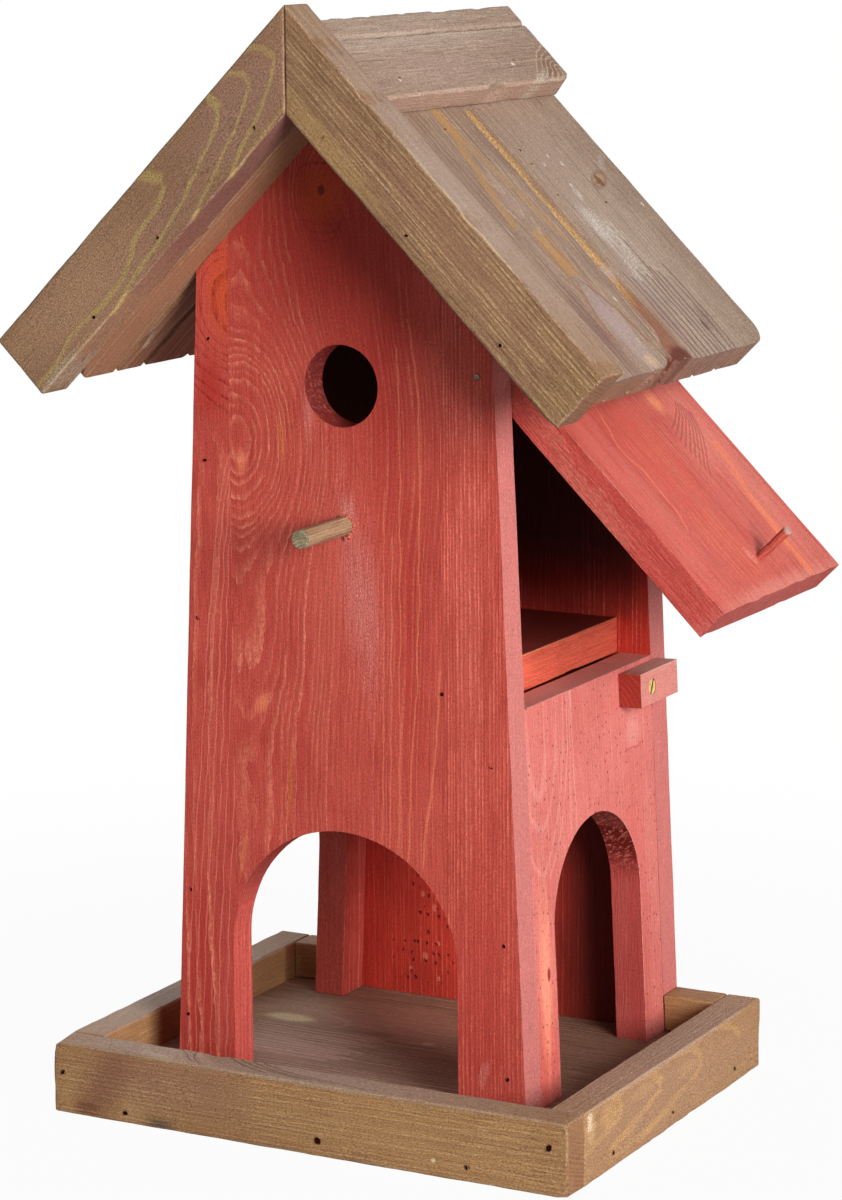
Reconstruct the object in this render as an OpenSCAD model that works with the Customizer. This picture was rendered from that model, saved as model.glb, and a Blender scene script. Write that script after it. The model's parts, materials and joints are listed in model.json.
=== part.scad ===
// Bird feeder: a little gabled tower on a rimmed seed tray, with an open side hatch.
// Sizes are in millimetres, +Z is up and the front faces -Y.
// The origin is the centre of the tray's underside.

/* [Tray] */
// Width of the tray from side to side
tray_w = 250; // [200:1:320]
// Depth of the tray from front to back
tray_d = 199; // [170:1:260]
// Height of the battens that edge the tray
rim_h = 32; // [24:1:45]
// Thickness of the battens that edge the tray
rim_t = 16; // [10:1:22]
// Thickness of the tray's floor
floor_t = 15; // [10:1:22]

/* [Tower] */
// Shift of the tower to the side of the tray's middle
house_x = -1.5; // [-10:0.5:10]
// Distance from the tray's front face to the tower's front face
front_set = 43.5; // [36:0.5:60]
// Width of the tray beside the tower on each side
side_room = 39; // [30:0.5:60]
// Width that each side loses for each millimetre of height
taper = 0.046; // [0:0.002:0.08]
// Thickness of the wall boards
wall_t = 15; // [10:1:20]
// Distance from the tower's middle to the left glue joint of the front
joint_left = 54.5; // [45:0.5:60]
// Distance from the tower's middle to the right glue joint of the front
joint_right = 47; // [40:0.5:60]

/* [Entrance] */
// Diameter of the round entrance hole
hole_d = 35; // [25:1:45]
// Height of the entrance hole's middle above the ground
hole_z = 322; // [290:1:345]
// Diameter of the perch
perch_d = 8; // [5:0.5:12]
// Length of the perch in front of the wall
perch_out = 38; // [20:1:60]
// Height of the perch above the ground
perch_z = 263; // [230:1:285]
// Shift of the perch to the side of the entrance hole
perch_x = 1; // [-4:0.5:4]

/* [Arches] */
// Radius of the arch in the front wall
front_arch_r = 55; // [40:1:60]
// Shift of the front arch to the side of the tower's middle
front_arch_x = -1.5; // [-4:0.5:4]
// Radius of the arches in the side walls
side_arch_r = 43.5; // [30:0.5:48]
// Height of the arches' crowns above the ground
arch_top = 130; // [90:1:150]

/* [Nest floor and side panel] */
// Height of the right panel's top edge above the ground
panel_top = 188.5; // [160:0.5:210]
// Thickness of the nest floor
nest_t = 16; // [10:1:20]
// Gap between the nest floor and the closed hatch
nest_gap = 0.6; // [0.4:0.1:4]

/* [Hatch] */
// Depth of the hatch's pivot below the top of the tower's side
pivot_drop = 38; // [32:0.5:60]
// Thickness of the hatch board
hatch_t = 15; // [10:0.5:18]
// Length of the hatch above its pivot
hatch_over = 9; // [6:0.5:12]
// Gap between the closed hatch and the panel below it
hatch_gap = 2; // [1:0.5:4]
// Gap between the hatch and the wall on each side
hatch_side_gap = 0.8; // [0.5:0.1:2]
// Angle by which the hatch stands open
hatch_open = 42.6; // [20:0.1:55]
// Diameter of the nails that the hatch swings on
pivot_d = 2.6; // [1.5:0.1:4]
// Depth of the pivot nails in the hatch
pivot_in = 18; // [10:1:30]
// Diameter of the hatch's peg
peg_d = 4; // [3:0.5:8]
// Length of the peg outside the hatch
peg_out = 18; // [10:1:30]
// Distance from the hatch's lower end to the peg
peg_up = 17; // [10:1:40]
// Shift of the peg towards the back from the hatch's middle
peg_back = 3; // [-10:0.5:10]

/* [Turn button] */
// Length of the turn button
button_l = 38.5; // [30:0.5:50]
// Height of the turn button while it lies flat
button_h = 15; // [10:0.5:20]
// Thickness of the turn button
button_t = 10.5; // [6:0.5:14]
// Distance from the panel's top edge to the turn button's middle
button_down = 9.5; // [8.5:0.5:20]
// Distance from the turn button's long end to the tower's rear face
button_rear = 10.7; // [8:0.1:16]
// Distance from the screw to the turn button's short end
screw_in = 12; // [8:0.5:16]
// Diameter of the button's screw
screw_d = 3.5; // [2.5:0.5:5]
// Diameter of the screw's head
screw_head_d = 7; // [5:0.5:9]
// Gap between the turn button and the panel
button_gap = 0.3; // [0.1:0.1:1]

/* [Roof] */
// Height of the bargeboards' peak above the ground
peak_z = 481; // [460:0.5:500]
// Width of the bargeboards
barge_w = 31; // [24:0.5:40]
// Thickness of the bargeboards
barge_t = 19; // [12:0.5:24]
// Length of the bargeboards along their upper edge
barge_l = 201.5; // [185:0.5:220]
// Thickness of the roof planks
plank_t = 14.5; // [10:0.5:18]
// Distance along the slope from the peak to the planks' lower ends
plank_l = 195.5; // [180:0.5:215]
// Gap between the two planks of one slope
plank_gap = 0.4; // [0.2:0.1:3]
// Radius in plan of the planks' lower corners at the roof's ends
plank_corner_r = 11; // [4:0.5:20]
// Radius in plan of the planks' lower corners at the joint
joint_corner_r = 4; // [2:0.5:10]
// Width of the sawn bevel along the joint of the two planks
bevel_w = 12; // [4:0.5:20]
// Depth of the sawn bevel along the joint of the two planks
bevel_d = 3; // [1:0.5:6]
// Width of the saw kerfs under the planks
kerf_w = 4; // [2:0.5:6]
// Depth of the saw kerfs under the planks
kerf_d = 3; // [1:0.5:6]
// Distance from a plank's front edge to its first kerf
kerf_a = 30; // [15:0.5:40]
// Distance from a plank's front edge to its second kerf
kerf_b = 52.5; // [45:0.5:70]
// Thickness of the ridge boards
cap_t = 12; // [8:0.5:15]
// Distance along the slope from the peak to the ridge boards' lower edges
cap_reach = 49.5; // [40:0.5:65]

/* [Hidden] */
$fn = 96;

// a hair that cuts run past the faces they cut
cut = 1;
// tray
front_y = -tray_d / 2;
back_y = tray_d / 2;
inner_w = tray_w - 2 * rim_t;
// tower
wall_y = front_y + front_set;
room_front = wall_y + wall_t;
room_back = back_y - wall_t;
room_d = room_back - room_front;
base_w = tray_w - 2 * side_room;
base_half = base_w / 2;
// roof
root2 = sqrt(2);
plank_v = barge_w - plank_t;
under_z = peak_z - barge_w * root2;
shoulder_x = (base_half - taper * (under_z - floor_t)) / (1 - taper);
shoulder_z = under_z - shoulder_x;
roof_front = front_y + barge_t;
plank_w = (back_y - roof_front - plank_gap) / 2;
plank_back_y = roof_front + plank_w + plank_gap;
cap_v = plank_v - cap_t;
// arches
front_spring = arch_top - front_arch_r;
side_spring = arch_top - side_arch_r;
room_mid = (room_front + room_back) / 2;
// slant of the tapered sides
slant = atan(taper);
// hatch
pivot_z = shoulder_z - pivot_drop;
pivot_x = half_at(pivot_z) - hatch_t / 2 / cos(slant);
hatch_l = (pivot_z - panel_top - hatch_gap) / cos(slant);
hatch_w = room_d - 2 * hatch_side_gap;
nest_top = panel_top + nest_t;
nest_edge = half_at(nest_top) - hatch_t / cos(slant) - nest_gap;
nest_back_x = -half_at(panel_top) + wall_t;
run_gap = 0.08;
// turn button
button_z = panel_top - button_down;
screw_y = back_y - button_rear - button_l + screw_in;

// half the tower's width at height z
function half_at(z) = base_half - taper * (z - floor_t);

// outline of the front and back walls, in x and z
module gable() {
    polygon([[-base_half, floor_t], [base_half, floor_t], [shoulder_x, shoulder_z],
        [0, under_z], [-shoulder_x, shoulder_z]]);
}

// the gable's outline made solid from y0 to y1
module gable_block(y0, y1) {
    translate([house_x, y1, 0]) rotate([90, 0, 0]) linear_extrude(y1 - y0) gable();
}

// the part of a wall between x0 and x1 from the tower's middle
module strip(x0, x1) {
    translate([house_x + x0, front_y - cut, 0]) cube([x1 - x0, tray_d + 2 * cut, peak_z]);
}

// arch-shaped hole through a wall at right angles to y
module front_arch() {
    translate([house_x + front_arch_x, wall_y - cut, 0]) {
        translate([0, 0, front_spring]) rotate([-90, 0, 0])
            cylinder(h = wall_t + 2 * cut, r = front_arch_r);
        translate([-front_arch_r, 0, 0]) cube([2 * front_arch_r, wall_t + 2 * cut, front_spring]);
    }
}

// round hole through the front wall
module entrance() {
    translate([house_x, wall_y - cut, hole_z]) rotate([-90, 0, 0])
        cylinder(h = wall_t + 2 * cut, d = hole_d);
}

// hole for a nail or rod that lies along y
module bore_y(x, y, z, l, d) {
    translate([x, y, z]) rotate([-90, 0, 0]) cylinder(h = l, d = d);
}

// the whole front wall before it is divided into its boards
module front_wall() {
    difference() {
        gable_block(wall_y, room_front);
        front_arch();
        entrance();
        bore_y(house_x + perch_x, wall_y - cut, perch_z, wall_t + 2 * cut, perch_d);
        bore_y(house_x + pivot_x, wall_y - cut, pivot_z, wall_t + 2 * cut, pivot_d);
    }
}

// the whole back wall before it is divided into its boards
module back_wall() {
    difference() {
        gable_block(room_back, back_y);
        bore_y(house_x + pivot_x, room_back - cut, pivot_z, wall_t + 2 * cut, pivot_d);
    }
}

// arch-shaped hole through a side wall
module side_arch() {
    translate([0, room_mid, side_spring]) rotate([0, 90, 0])
        cylinder(h = base_w, r = side_arch_r);
    translate([0, room_mid - side_arch_r, 0]) cube([base_w, 2 * side_arch_r, side_spring]);
}

// a side wall on the +X side between the front and back walls, up to the roof
module side_wall() {
    difference() {
        translate([0, room_back, 0]) rotate([90, 0, 0]) linear_extrude(room_d)
            polygon([[base_half, floor_t], [shoulder_x, shoulder_z],
                [shoulder_x - wall_t, shoulder_z + wall_t], [base_half - wall_t, floor_t]]);
        side_arch();
    }
}

// puts what is drawn upright, along the tapered right side, in its place on the tower's side
module on_right_side(z) {
    translate([house_x + half_at(z), 0, z]) rotate([0, -slant, 0]) children();
}

module tray_floor() {
    color([0.43, 0.29, 0.25])
        translate([-inner_w / 2, front_y + rim_t, 0]) cube([inner_w, tray_d - rim_t, floor_t]);
}

module rim_front() {
    color([0.62, 0.48, 0.33])
        translate([-tray_w / 2, front_y, 0]) cube([tray_w, rim_t, rim_h]);
}

// a batten along one side of the tray
module rim_side(x) {
    color([0.62, 0.48, 0.33])
        translate([x, front_y + rim_t, 0]) cube([rim_t, tray_d - rim_t, rim_h]);
}

module rim_left() {
    rim_side(-tray_w / 2);
}

module rim_right() {
    rim_side(tray_w / 2 - rim_t);
}

// a short batten beside the back wall, from x0 to x1
module rim_back(x0, x1) {
    color([0.62, 0.48, 0.33]) difference() {
        translate([x0, back_y - rim_t, floor_t]) cube([x1 - x0, rim_t, rim_h - floor_t]);
        gable_block(back_y - rim_t - cut, back_y + cut);
    }
}

module rim_back_left() {
    rim_back(-inner_w / 2, house_x - base_half + 2);
}

module rim_back_right() {
    rim_back(house_x + base_half - 2, inner_w / 2);
}

// one glued board of a wall, between x0 and x1 from the tower's middle
module board(x0, x1, front) {
    color([0.72, 0.28, 0.24]) intersection() {
        strip(x0, x1);
        if (front) front_wall();
        else back_wall();
    }
}

module front_board_left() {
    board(-base_half - cut, -joint_left, true);
}

module front_board_middle() {
    board(-joint_left, joint_right, true);
}

module front_board_right() {
    board(joint_right, base_half + cut, true);
}

module back_board_left() {
    board(-base_half - cut, -joint_left, false);
}

module back_board_middle() {
    board(-joint_left, joint_right, false);
}

module back_board_right() {
    board(joint_right, base_half + cut, false);
}

module left_wall() {
    color([0.72, 0.28, 0.24]) translate([house_x, 0, 0]) mirror([1, 0, 0]) side_wall();
}

module right_panel() {
    color([0.85, 0.45, 0.40]) difference() {
        translate([house_x, 0, 0]) intersection() {
            side_wall();
            translate([0, front_y, 0]) cube([base_w, tray_d, panel_top]);
        }
        on_right_side(button_z) translate([0, screw_y, 0]) rotate([0, -90, 0])
            translate([0, 0, -cut]) cylinder(h = wall_t - 4 + cut, d = screw_d);
    }
}

module nest_floor() {
    color([0.60, 0.32, 0.22])
        translate([house_x, room_back, 0]) rotate([90, 0, 0]) linear_extrude(room_d)
            polygon([[nest_back_x, panel_top], [nest_edge, panel_top], [nest_edge, nest_top],
                [nest_back_x + taper * nest_t, nest_top]]);
}

module perch() {
    color([0.75, 0.62, 0.42])
        bore_y(house_x + perch_x, wall_y - perch_out, perch_z, perch_out + wall_t, perch_d);
}

// puts what is drawn as the closed hatch at its open rest angle
module swung() {
    translate([house_x + pivot_x, 0, pivot_z]) rotate([0, -slant - hatch_open, 0]) children();
}

module hatch() {
    color([0.86, 0.43, 0.37]) swung() difference() {
        translate([0, room_front + hatch_side_gap, 0]) union() {
            translate([-hatch_t / 2, 0, -hatch_l]) cube([hatch_t, hatch_w, hatch_l]);
            translate([-hatch_t / 2, 0, 0]) cube([hatch_t, hatch_w, hatch_over]);
        }
        bore_y(0, room_front, 0, hatch_side_gap + pivot_in + run_gap, pivot_d + 2 * run_gap);
        bore_y(0, room_back - hatch_side_gap - pivot_in - run_gap, 0,
            hatch_side_gap + pivot_in + run_gap + cut, pivot_d + 2 * run_gap);
        translate([-hatch_t * 0.1, room_mid + peg_back, peg_up - hatch_l])
            rotate([0, 90, 0]) cylinder(h = hatch_t, d = peg_d);
    }
}

module hatch_peg() {
    color([0.80, 0.45, 0.38]) swung()
        translate([-hatch_t * 0.1, room_mid + peg_back, peg_up - hatch_l])
            rotate([0, 90, 0]) cylinder(h = peg_out + hatch_t * 0.6, d = peg_d);
}

module pivot_nail_front() {
    color([0.80, 0.80, 0.80])
        bore_y(house_x + pivot_x, wall_y - 0.6, pivot_z,
            wall_t + 0.6 + hatch_side_gap + pivot_in, pivot_d);
}

module pivot_nail_back() {
    color([0.80, 0.80, 0.80])
        bore_y(house_x + pivot_x, room_back - hatch_side_gap - pivot_in, pivot_z,
            wall_t + 0.6 + hatch_side_gap + pivot_in, pivot_d);
}

module turn_button() {
    color([0.62, 0.25, 0.20]) on_right_side(button_z) difference() {
        translate([button_gap, screw_y - screw_in, -button_h / 2])
            cube([button_t, button_l, button_h]);
        translate([0, screw_y, 0]) rotate([0, 90, 0])
            cylinder(h = button_t + cut, d = screw_d + 2 * run_gap);
        translate([button_gap + button_t - 2.4, screw_y, 0]) rotate([0, 90, 0])
            cylinder(h = 2.4 + cut, d = screw_head_d + 2 * run_gap);
    }
}

module button_screw() {
    color([0.78, 0.62, 0.30]) on_right_side(button_z) translate([0, screw_y, 0])
        rotate([0, 90, 0]) {
            translate([0, 0, 4 - wall_t]) cylinder(h = wall_t - 4 + button_t - 1.5, d = screw_d);
            translate([0, 0, button_gap + button_t - 2.2]) cylinder(h = 2, d = screw_head_d);
        }
}

// outline of one slope's part in the plane across the ridge, mirrored for the left slope
module across(y0, y1, left) {
    translate([house_x, y1, peak_z]) mirror([left ? 1 : 0, 0, 0]) rotate([90, 0, 0])
        linear_extrude(y1 - y0) rotate(-45) mirror([0, 1]) children();
}

module bargeboard(left) {
    across(front_y, roof_front, left)
        polygon([[0, 0], [barge_l, 0], [barge_l, barge_w], [barge_w, barge_w]]);
}

module bargeboard_left() {
    color([0.58, 0.45, 0.36]) bargeboard(true);
}

module bargeboard_right() {
    color([0.62, 0.50, 0.38]) bargeboard(false);
}

// turns what is drawn level, with x down the slope from the peak, onto a slope of the roof
module on_slope(left) {
    translate([house_x, 0, peak_z]) mirror([left ? 1 : 0, 0, 0]) rotate([0, 45, 0]) children();
}

// a plank's outline seen square on, with lower corners of radius r0 and r1
module plank_plan(r0, r1) {
    square([plank_l - r0, plank_w / 2]);
    translate([0, plank_w / 2]) square([plank_l - r1, plank_w / 2]);
    translate([0, r0]) square([plank_l, plank_w - r0 - r1]);
    translate([plank_l - r0, r0]) circle(r0);
    translate([plank_l - r1, plank_w - r1]) circle(r1);
}

// a roof plank of one slope whose front edge is at y0
module plank(y0, left, r0, r1) {
    difference() {
        intersection() {
            across(y0, y0 + plank_w, left)
                polygon([[plank_v, plank_v], [plank_l, plank_v],
                    [plank_l, barge_w], [barge_w, barge_w]]);
            on_slope(left) translate([0, y0, -barge_w - cut])
                linear_extrude(barge_w + 2 * cut) plank_plan(r0, r1);
        }
        kerf(y0 + kerf_a, left);
        kerf(y0 + kerf_b, left);
    }
}

// a saw kerf along the underside of a slope
module kerf(y, left) {
    across(y, y + kerf_w, left)
        translate([0, barge_w - kerf_d]) square([plank_l + cut, kerf_d + cut]);
}

module front_plank(left) {
    color([0.66, 0.56, 0.50]) plank(roof_front, left, plank_corner_r, joint_corner_r);
}

// the back plank, whose upper front edge has a rough sawn bevel
module back_plank(left) {
    color([0.66, 0.56, 0.50]) difference() {
        plank(plank_back_y, left, joint_corner_r, plank_corner_r);
        on_slope(left) translate([0, plank_back_y, -plank_v]) rotate([0, 90, 0])
            linear_extrude(plank_l + cut) polygon([[-cut, -cut],
                [-cut, bevel_w * (1 + cut / bevel_d)], [bevel_d * (1 + cut / bevel_w), -cut]]);
    }
}

module plank_left_front() {
    front_plank(true);
}

module plank_left_back() {
    back_plank(true);
}

module plank_right_front() {
    front_plank(false);
}

module plank_right_back() {
    back_plank(false);
}

module ridge_board_left() {
    color([0.66, 0.54, 0.44]) across(roof_front, back_y, true)
        polygon([[cap_v, cap_v], [cap_reach, cap_v], [cap_reach, plank_v], [cap_v, plank_v]]);
}

module ridge_board_right() {
    color([0.68, 0.56, 0.48]) across(roof_front, back_y, false)
        polygon([[plank_v, cap_v], [cap_reach, cap_v], [cap_reach, plank_v], [plank_v, plank_v]]);
}

tray_floor();
rim_front();
rim_left();
rim_right();
rim_back_left();
rim_back_right();
front_board_left();
front_board_middle();
front_board_right();
back_board_left();
back_board_middle();
back_board_right();
left_wall();
right_panel();
nest_floor();
perch();
hatch();
hatch_peg();
pivot_nail_front();
pivot_nail_back();
turn_button();
button_screw();
bargeboard_left();
bargeboard_right();
plank_left_front();
plank_left_back();
plank_right_front();
plank_right_back();
ridge_board_left();
ridge_board_right();
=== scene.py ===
import json
import math

import bpy
import numpy as np
from mathutils import Matrix, Vector, noise


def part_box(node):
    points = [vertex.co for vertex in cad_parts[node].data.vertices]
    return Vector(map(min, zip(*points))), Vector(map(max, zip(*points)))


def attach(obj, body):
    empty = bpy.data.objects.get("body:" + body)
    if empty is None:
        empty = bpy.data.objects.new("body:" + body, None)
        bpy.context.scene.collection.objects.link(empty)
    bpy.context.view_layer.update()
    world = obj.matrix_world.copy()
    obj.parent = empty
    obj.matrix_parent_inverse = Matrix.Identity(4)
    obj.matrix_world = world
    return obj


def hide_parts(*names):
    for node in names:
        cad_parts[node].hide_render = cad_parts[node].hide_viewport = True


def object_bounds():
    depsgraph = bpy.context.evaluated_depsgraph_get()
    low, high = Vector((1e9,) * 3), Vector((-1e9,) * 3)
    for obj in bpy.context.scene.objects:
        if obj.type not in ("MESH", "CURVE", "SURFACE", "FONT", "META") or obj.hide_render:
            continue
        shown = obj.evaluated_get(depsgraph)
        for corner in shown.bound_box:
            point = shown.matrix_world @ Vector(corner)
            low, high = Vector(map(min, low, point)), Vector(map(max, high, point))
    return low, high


bl_info = {
    "name": "Weathered bird feeder",
    "version": (1, 0, 0),
    "blender": (4, 5, 0),
    "location": "View3D > Sidebar > Feeder",
    "description": "Finishes a wooden bird feeder with worn boards, stains, nails and a studio",
    "category": "Add Mesh",
}

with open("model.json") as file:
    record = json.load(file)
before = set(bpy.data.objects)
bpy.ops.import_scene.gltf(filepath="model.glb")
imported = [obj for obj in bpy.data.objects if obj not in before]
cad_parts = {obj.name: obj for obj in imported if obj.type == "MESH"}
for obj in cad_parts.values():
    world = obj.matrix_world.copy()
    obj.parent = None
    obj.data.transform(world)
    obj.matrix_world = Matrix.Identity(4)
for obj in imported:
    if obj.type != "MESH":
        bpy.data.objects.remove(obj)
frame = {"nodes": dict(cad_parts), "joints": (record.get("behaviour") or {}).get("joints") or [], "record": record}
CAD_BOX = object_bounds()
NODES = frame["nodes"]
JOINTS = {joint["name"]: joint for joint in frame["joints"]}
BODY_OF = {
    node: body
    for body, members in frame["record"]["behaviour"]["bodies"].items()
    for node in members
}

X, Y, Z = Vector((1, 0, 0)), Vector((0, 1, 0)), Vector((0, 0, 1))
MM = 0.001
DOWN_RIGHT, DOWN_LEFT = Vector((1, 0, -1)).normalized(), Vector((-1, 0, -1)).normalized()
UP_RIGHT, UP_LEFT = Vector((1, 0, 1)).normalized(), Vector((-1, 0, 1)).normalized()

# places that several pieces share, in metres
WALL_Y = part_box("front_board_middle")[0].y
HOUSE_X = (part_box("bargeboard_left")[0].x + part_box("bargeboard_right")[1].x) / 2
PEAK = Vector((HOUSE_X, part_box("bargeboard_left")[0].y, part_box("bargeboard_left")[1].z))
PIVOT = Vector(JOINTS["hatch_pivot"]["pos_m"])
SCREW = Vector(JOINTS["button_pivot"]["pos_m"])
SCREW_AXIS = Vector(JOINTS["button_pivot"]["axis"]).normalized()


def hatch_direction():
    """The way the open hatch hangs, from its pivot to its lower end."""
    mesh = NODES["hatch"].data
    low = min((v.co for v in mesh.vertices), key=lambda co: co.z)
    far = max((v.co for v in mesh.vertices), key=lambda co: co.x)
    end = (low + far) / 2
    return Vector((end.x - PIVOT.x, 0, end.z - PIVOT.z)).normalized()


HATCH_DOWN = hatch_direction()
HATCH_OUT = HATCH_DOWN.cross(Y)

# the entrance and the arches, in metres
BORE_X, BORE_Z, BORE_REACH = HOUSE_X, 0.322, 0.021
FRONT_ARCH_X, FRONT_ARCH_REACH = HOUSE_X - 0.0015, 0.0558
SIDE_ARCH_Y, SIDE_ARCH_REACH = 0.0218, 0.0445
ARCH_TOP = 0.132
FOOT_TOP = 0.02


# ---------------------------------------------------------------- materials


class Wire:
    """A node's output that can be added, multiplied and so on to make Math nodes."""

    def __init__(self, graph, socket):
        self.graph, self.socket = graph, socket

    def __neg__(self):
        return self * -1.0


def arithmetic(operation, swapped):
    """A Wire's method for one sign, with the wire second where it is swapped."""

    def method(wire, other):
        a, b = (other, wire) if swapped else (wire, other)
        return wire.graph.math(operation, a, b)

    return method


for sign, operation in (("add", "ADD"), ("sub", "SUBTRACT"), ("mul", "MULTIPLY"),
                        ("truediv", "DIVIDE")):
    setattr(Wire, f"__{sign}__", arithmetic(operation, False))
    setattr(Wire, f"__r{sign}__", arithmetic(operation, True))


class Graph:
    """The nodes of a material or world under construction."""

    def __init__(self, owner):
        self.owner = owner
        owner.use_nodes = True
        self.tree = owner.node_tree
        self.tree.nodes.clear()

    def node(self, kind, inputs=(), **settings):
        """Adds a node; inputs are (socket's name or number, wire, value or user's colour)."""
        made = self.tree.nodes.new(kind)
        for key, value in settings.items():
            setattr(made, key, value)
        for key, value in inputs:
            socket = made.inputs[key]
            value = user_colour(value) if isinstance(value, str) else value
            if isinstance(value, Wire):
                self.tree.links.new(value.socket, socket)
            elif socket.type == "RGBA":
                socket.default_value = (*value[:3], 1.0)
            elif value is not None:
                socket.default_value = value
        return made

    def wire(self, kind, inputs=(), output=0, **settings):
        """Adds a node and gives one of its outputs."""
        return Wire(self, self.node(kind, inputs, **settings).outputs[output])

    def math(self, operation, a, b=None):
        return self.wire("ShaderNodeMath", ((0, a), (1, b)), operation=operation)

    def step(self, value, lo, hi):
        """0 below lo, 1 above hi and smooth between; lo may be the higher."""
        rising = lo < hi
        return self.wire("ShaderNodeMapRange", (
            ("Value", value), ("From Min", min(lo, hi)), ("From Max", max(lo, hi)),
            ("To Min", 0.0 if rising else 1.0), ("To Max", 1.0 if rising else 0.0),
        ), "Result", interpolation_type="SMOOTHSTEP")

    def vector(self, x, y, z):
        return self.wire("ShaderNodeCombineXYZ", ((0, x), (1, y), (2, z)))

    def noise(self, vector, scale=1.0, detail=2.0, roughness=0.5):
        return self.wire("ShaderNodeTexNoise", (
            ("Vector", vector), ("Scale", scale), ("Detail", detail), ("Roughness", roughness)))

    def mix(self, factor, a, b):
        """Colour a turned into colour b by factor."""
        return self.wire("ShaderNodeMix", ((0, factor), (6, a), (7, b)), 2, data_type="RGBA")

    def bump(self, height, distance):
        return self.wire("ShaderNodeBump", (
            ("Strength", 1.0), ("Distance", distance), ("Height", height)))

    def place(self):
        """The place on the piece, in metres."""
        return self.wire("ShaderNodeTexCoord", output="Object")

    def attribute(self, name):
        """A value that was painted on the mesh."""
        return self.wire("ShaderNodeAttribute", output="Fac", attribute_name=name)

    def scale(self, colour, factor):
        """A colour made brighter or darker."""
        return self.wire("ShaderNodeVectorMath", ((0, colour), ("Scale", factor)),
                         operation="SCALE")

    def close(self, kind, shader):
        """Links the last shader to the output."""
        self.node(kind, ((0, shader),))
        return self.owner

    def finish(self, colour, roughness, normal, metallic=0.0, specular=0.5):
        """Closes a material with its shader."""
        return self.close("ShaderNodeOutputMaterial", self.wire("ShaderNodeBsdfPrincipled", (
            ("Base Color", colour), ("Roughness", roughness), ("Normal", normal),
            ("Metallic", metallic), ("Specular IOR Level", specular))))


def material(name):
    return Graph(bpy.data.materials.new(name))


def rgb(red, green, blue):
    """An sRGB colour written in 0-255 as the linear colour that shaders use."""

    def channel(value):
        value /= 255
        return value / 12.92 if value <= 0.04045 else ((value + 0.055) / 1.055) ** 2.4

    return tuple(channel(value) for value in (red, green, blue))


def user_colour(name):
    return tuple(getattr(bpy.context.scene.feeder_finishes, name))


def darker(colour, share):
    return tuple(channel * share for channel in colour)


ORANGE = rgb(206, 104, 62)
DEEP_RED = rgb(132, 34, 28)
PALE_PINK = rgb(222, 148, 138)
PURPLE = rgb(112, 76, 72)
CHALK = rgb(206, 196, 186)
UNDER_BROWN = rgb(158, 112, 82)
VEIN_ORANGE = rgb(232, 128, 90)
OLIVE = rgb(176, 152, 90)
TAN = rgb(206, 160, 100)
SCAR = rgb(92, 42, 32)
TORN_RED = rgb(104, 20, 16)
# painted shade: the near-black red that the nest room's inner faces take in place of their shade
NEST_SHADE = rgb(44, 12, 10)


class Stain:
    """The colours of one finish: open wood, dark fibres, grain lines, worn edges, which lit faces also take as
    painted light, and blotches.
    """

    def __init__(self, base, dark, line, worn, blotch=None, roughness=0.62):
        self.base, self.dark, self.line, self.worn = base, dark, line, worn
        self.blotch, self.roughness = blotch or dark, roughness


class Mark:
    """A patch of another colour on a board: a flame, a scuff, a stain or the shade of a knot.
    Its place and half lengths are in millimetres along and across the grain. One that is
    over lies on the grain lines and hides them, speckle breaks it into grains, and soft
    lets it fade further out."""

    def __init__(self, x, y, length, width, colour, strength=1.0, ragged=0.5, lean=0.0,
                 over=False, speckle=0.0, soft=0.0):
        self.x, self.y, self.length, self.width = x, y, length, width
        self.colour, self.strength, self.ragged, self.lean = colour, strength, ragged, lean
        self.over, self.speckle, self.soft = over, speckle, soft


class Vein:
    """One grain line drawn through points in millimetres, x along the grain and y across.
    A steep one is listed as (y, x) instead, and one on top lies on the board's upper edge,
    where y counts inwards from the face."""

    def __init__(self, points, width, colour, strength=0.7, steep=False, top=False,
                 speckle=0.0):
        self.points, self.width, self.colour = sorted(points), width, colour
        self.strength, self.steep, self.top, self.speckle = strength, steep, top, speckle

    def reach(self):
        """Where the line starts, how long it is, and its lowest and highest points."""
        heights = [point[1] for point in self.points]
        start = self.points[0][0]
        return start, self.points[-1][0] - start, min(heights), max(heights) + 0.01


class Pores:
    """Small round holes: how far apart and how wide in millimetres, how dark their bottoms
    are, how deep they look, and the patch that they lie in."""

    def __init__(self, apart, radius, colour, depth=2.0, region=None):
        self.apart, self.radius, self.colour = apart, radius, colour
        self.depth, self.region = depth, region


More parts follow.
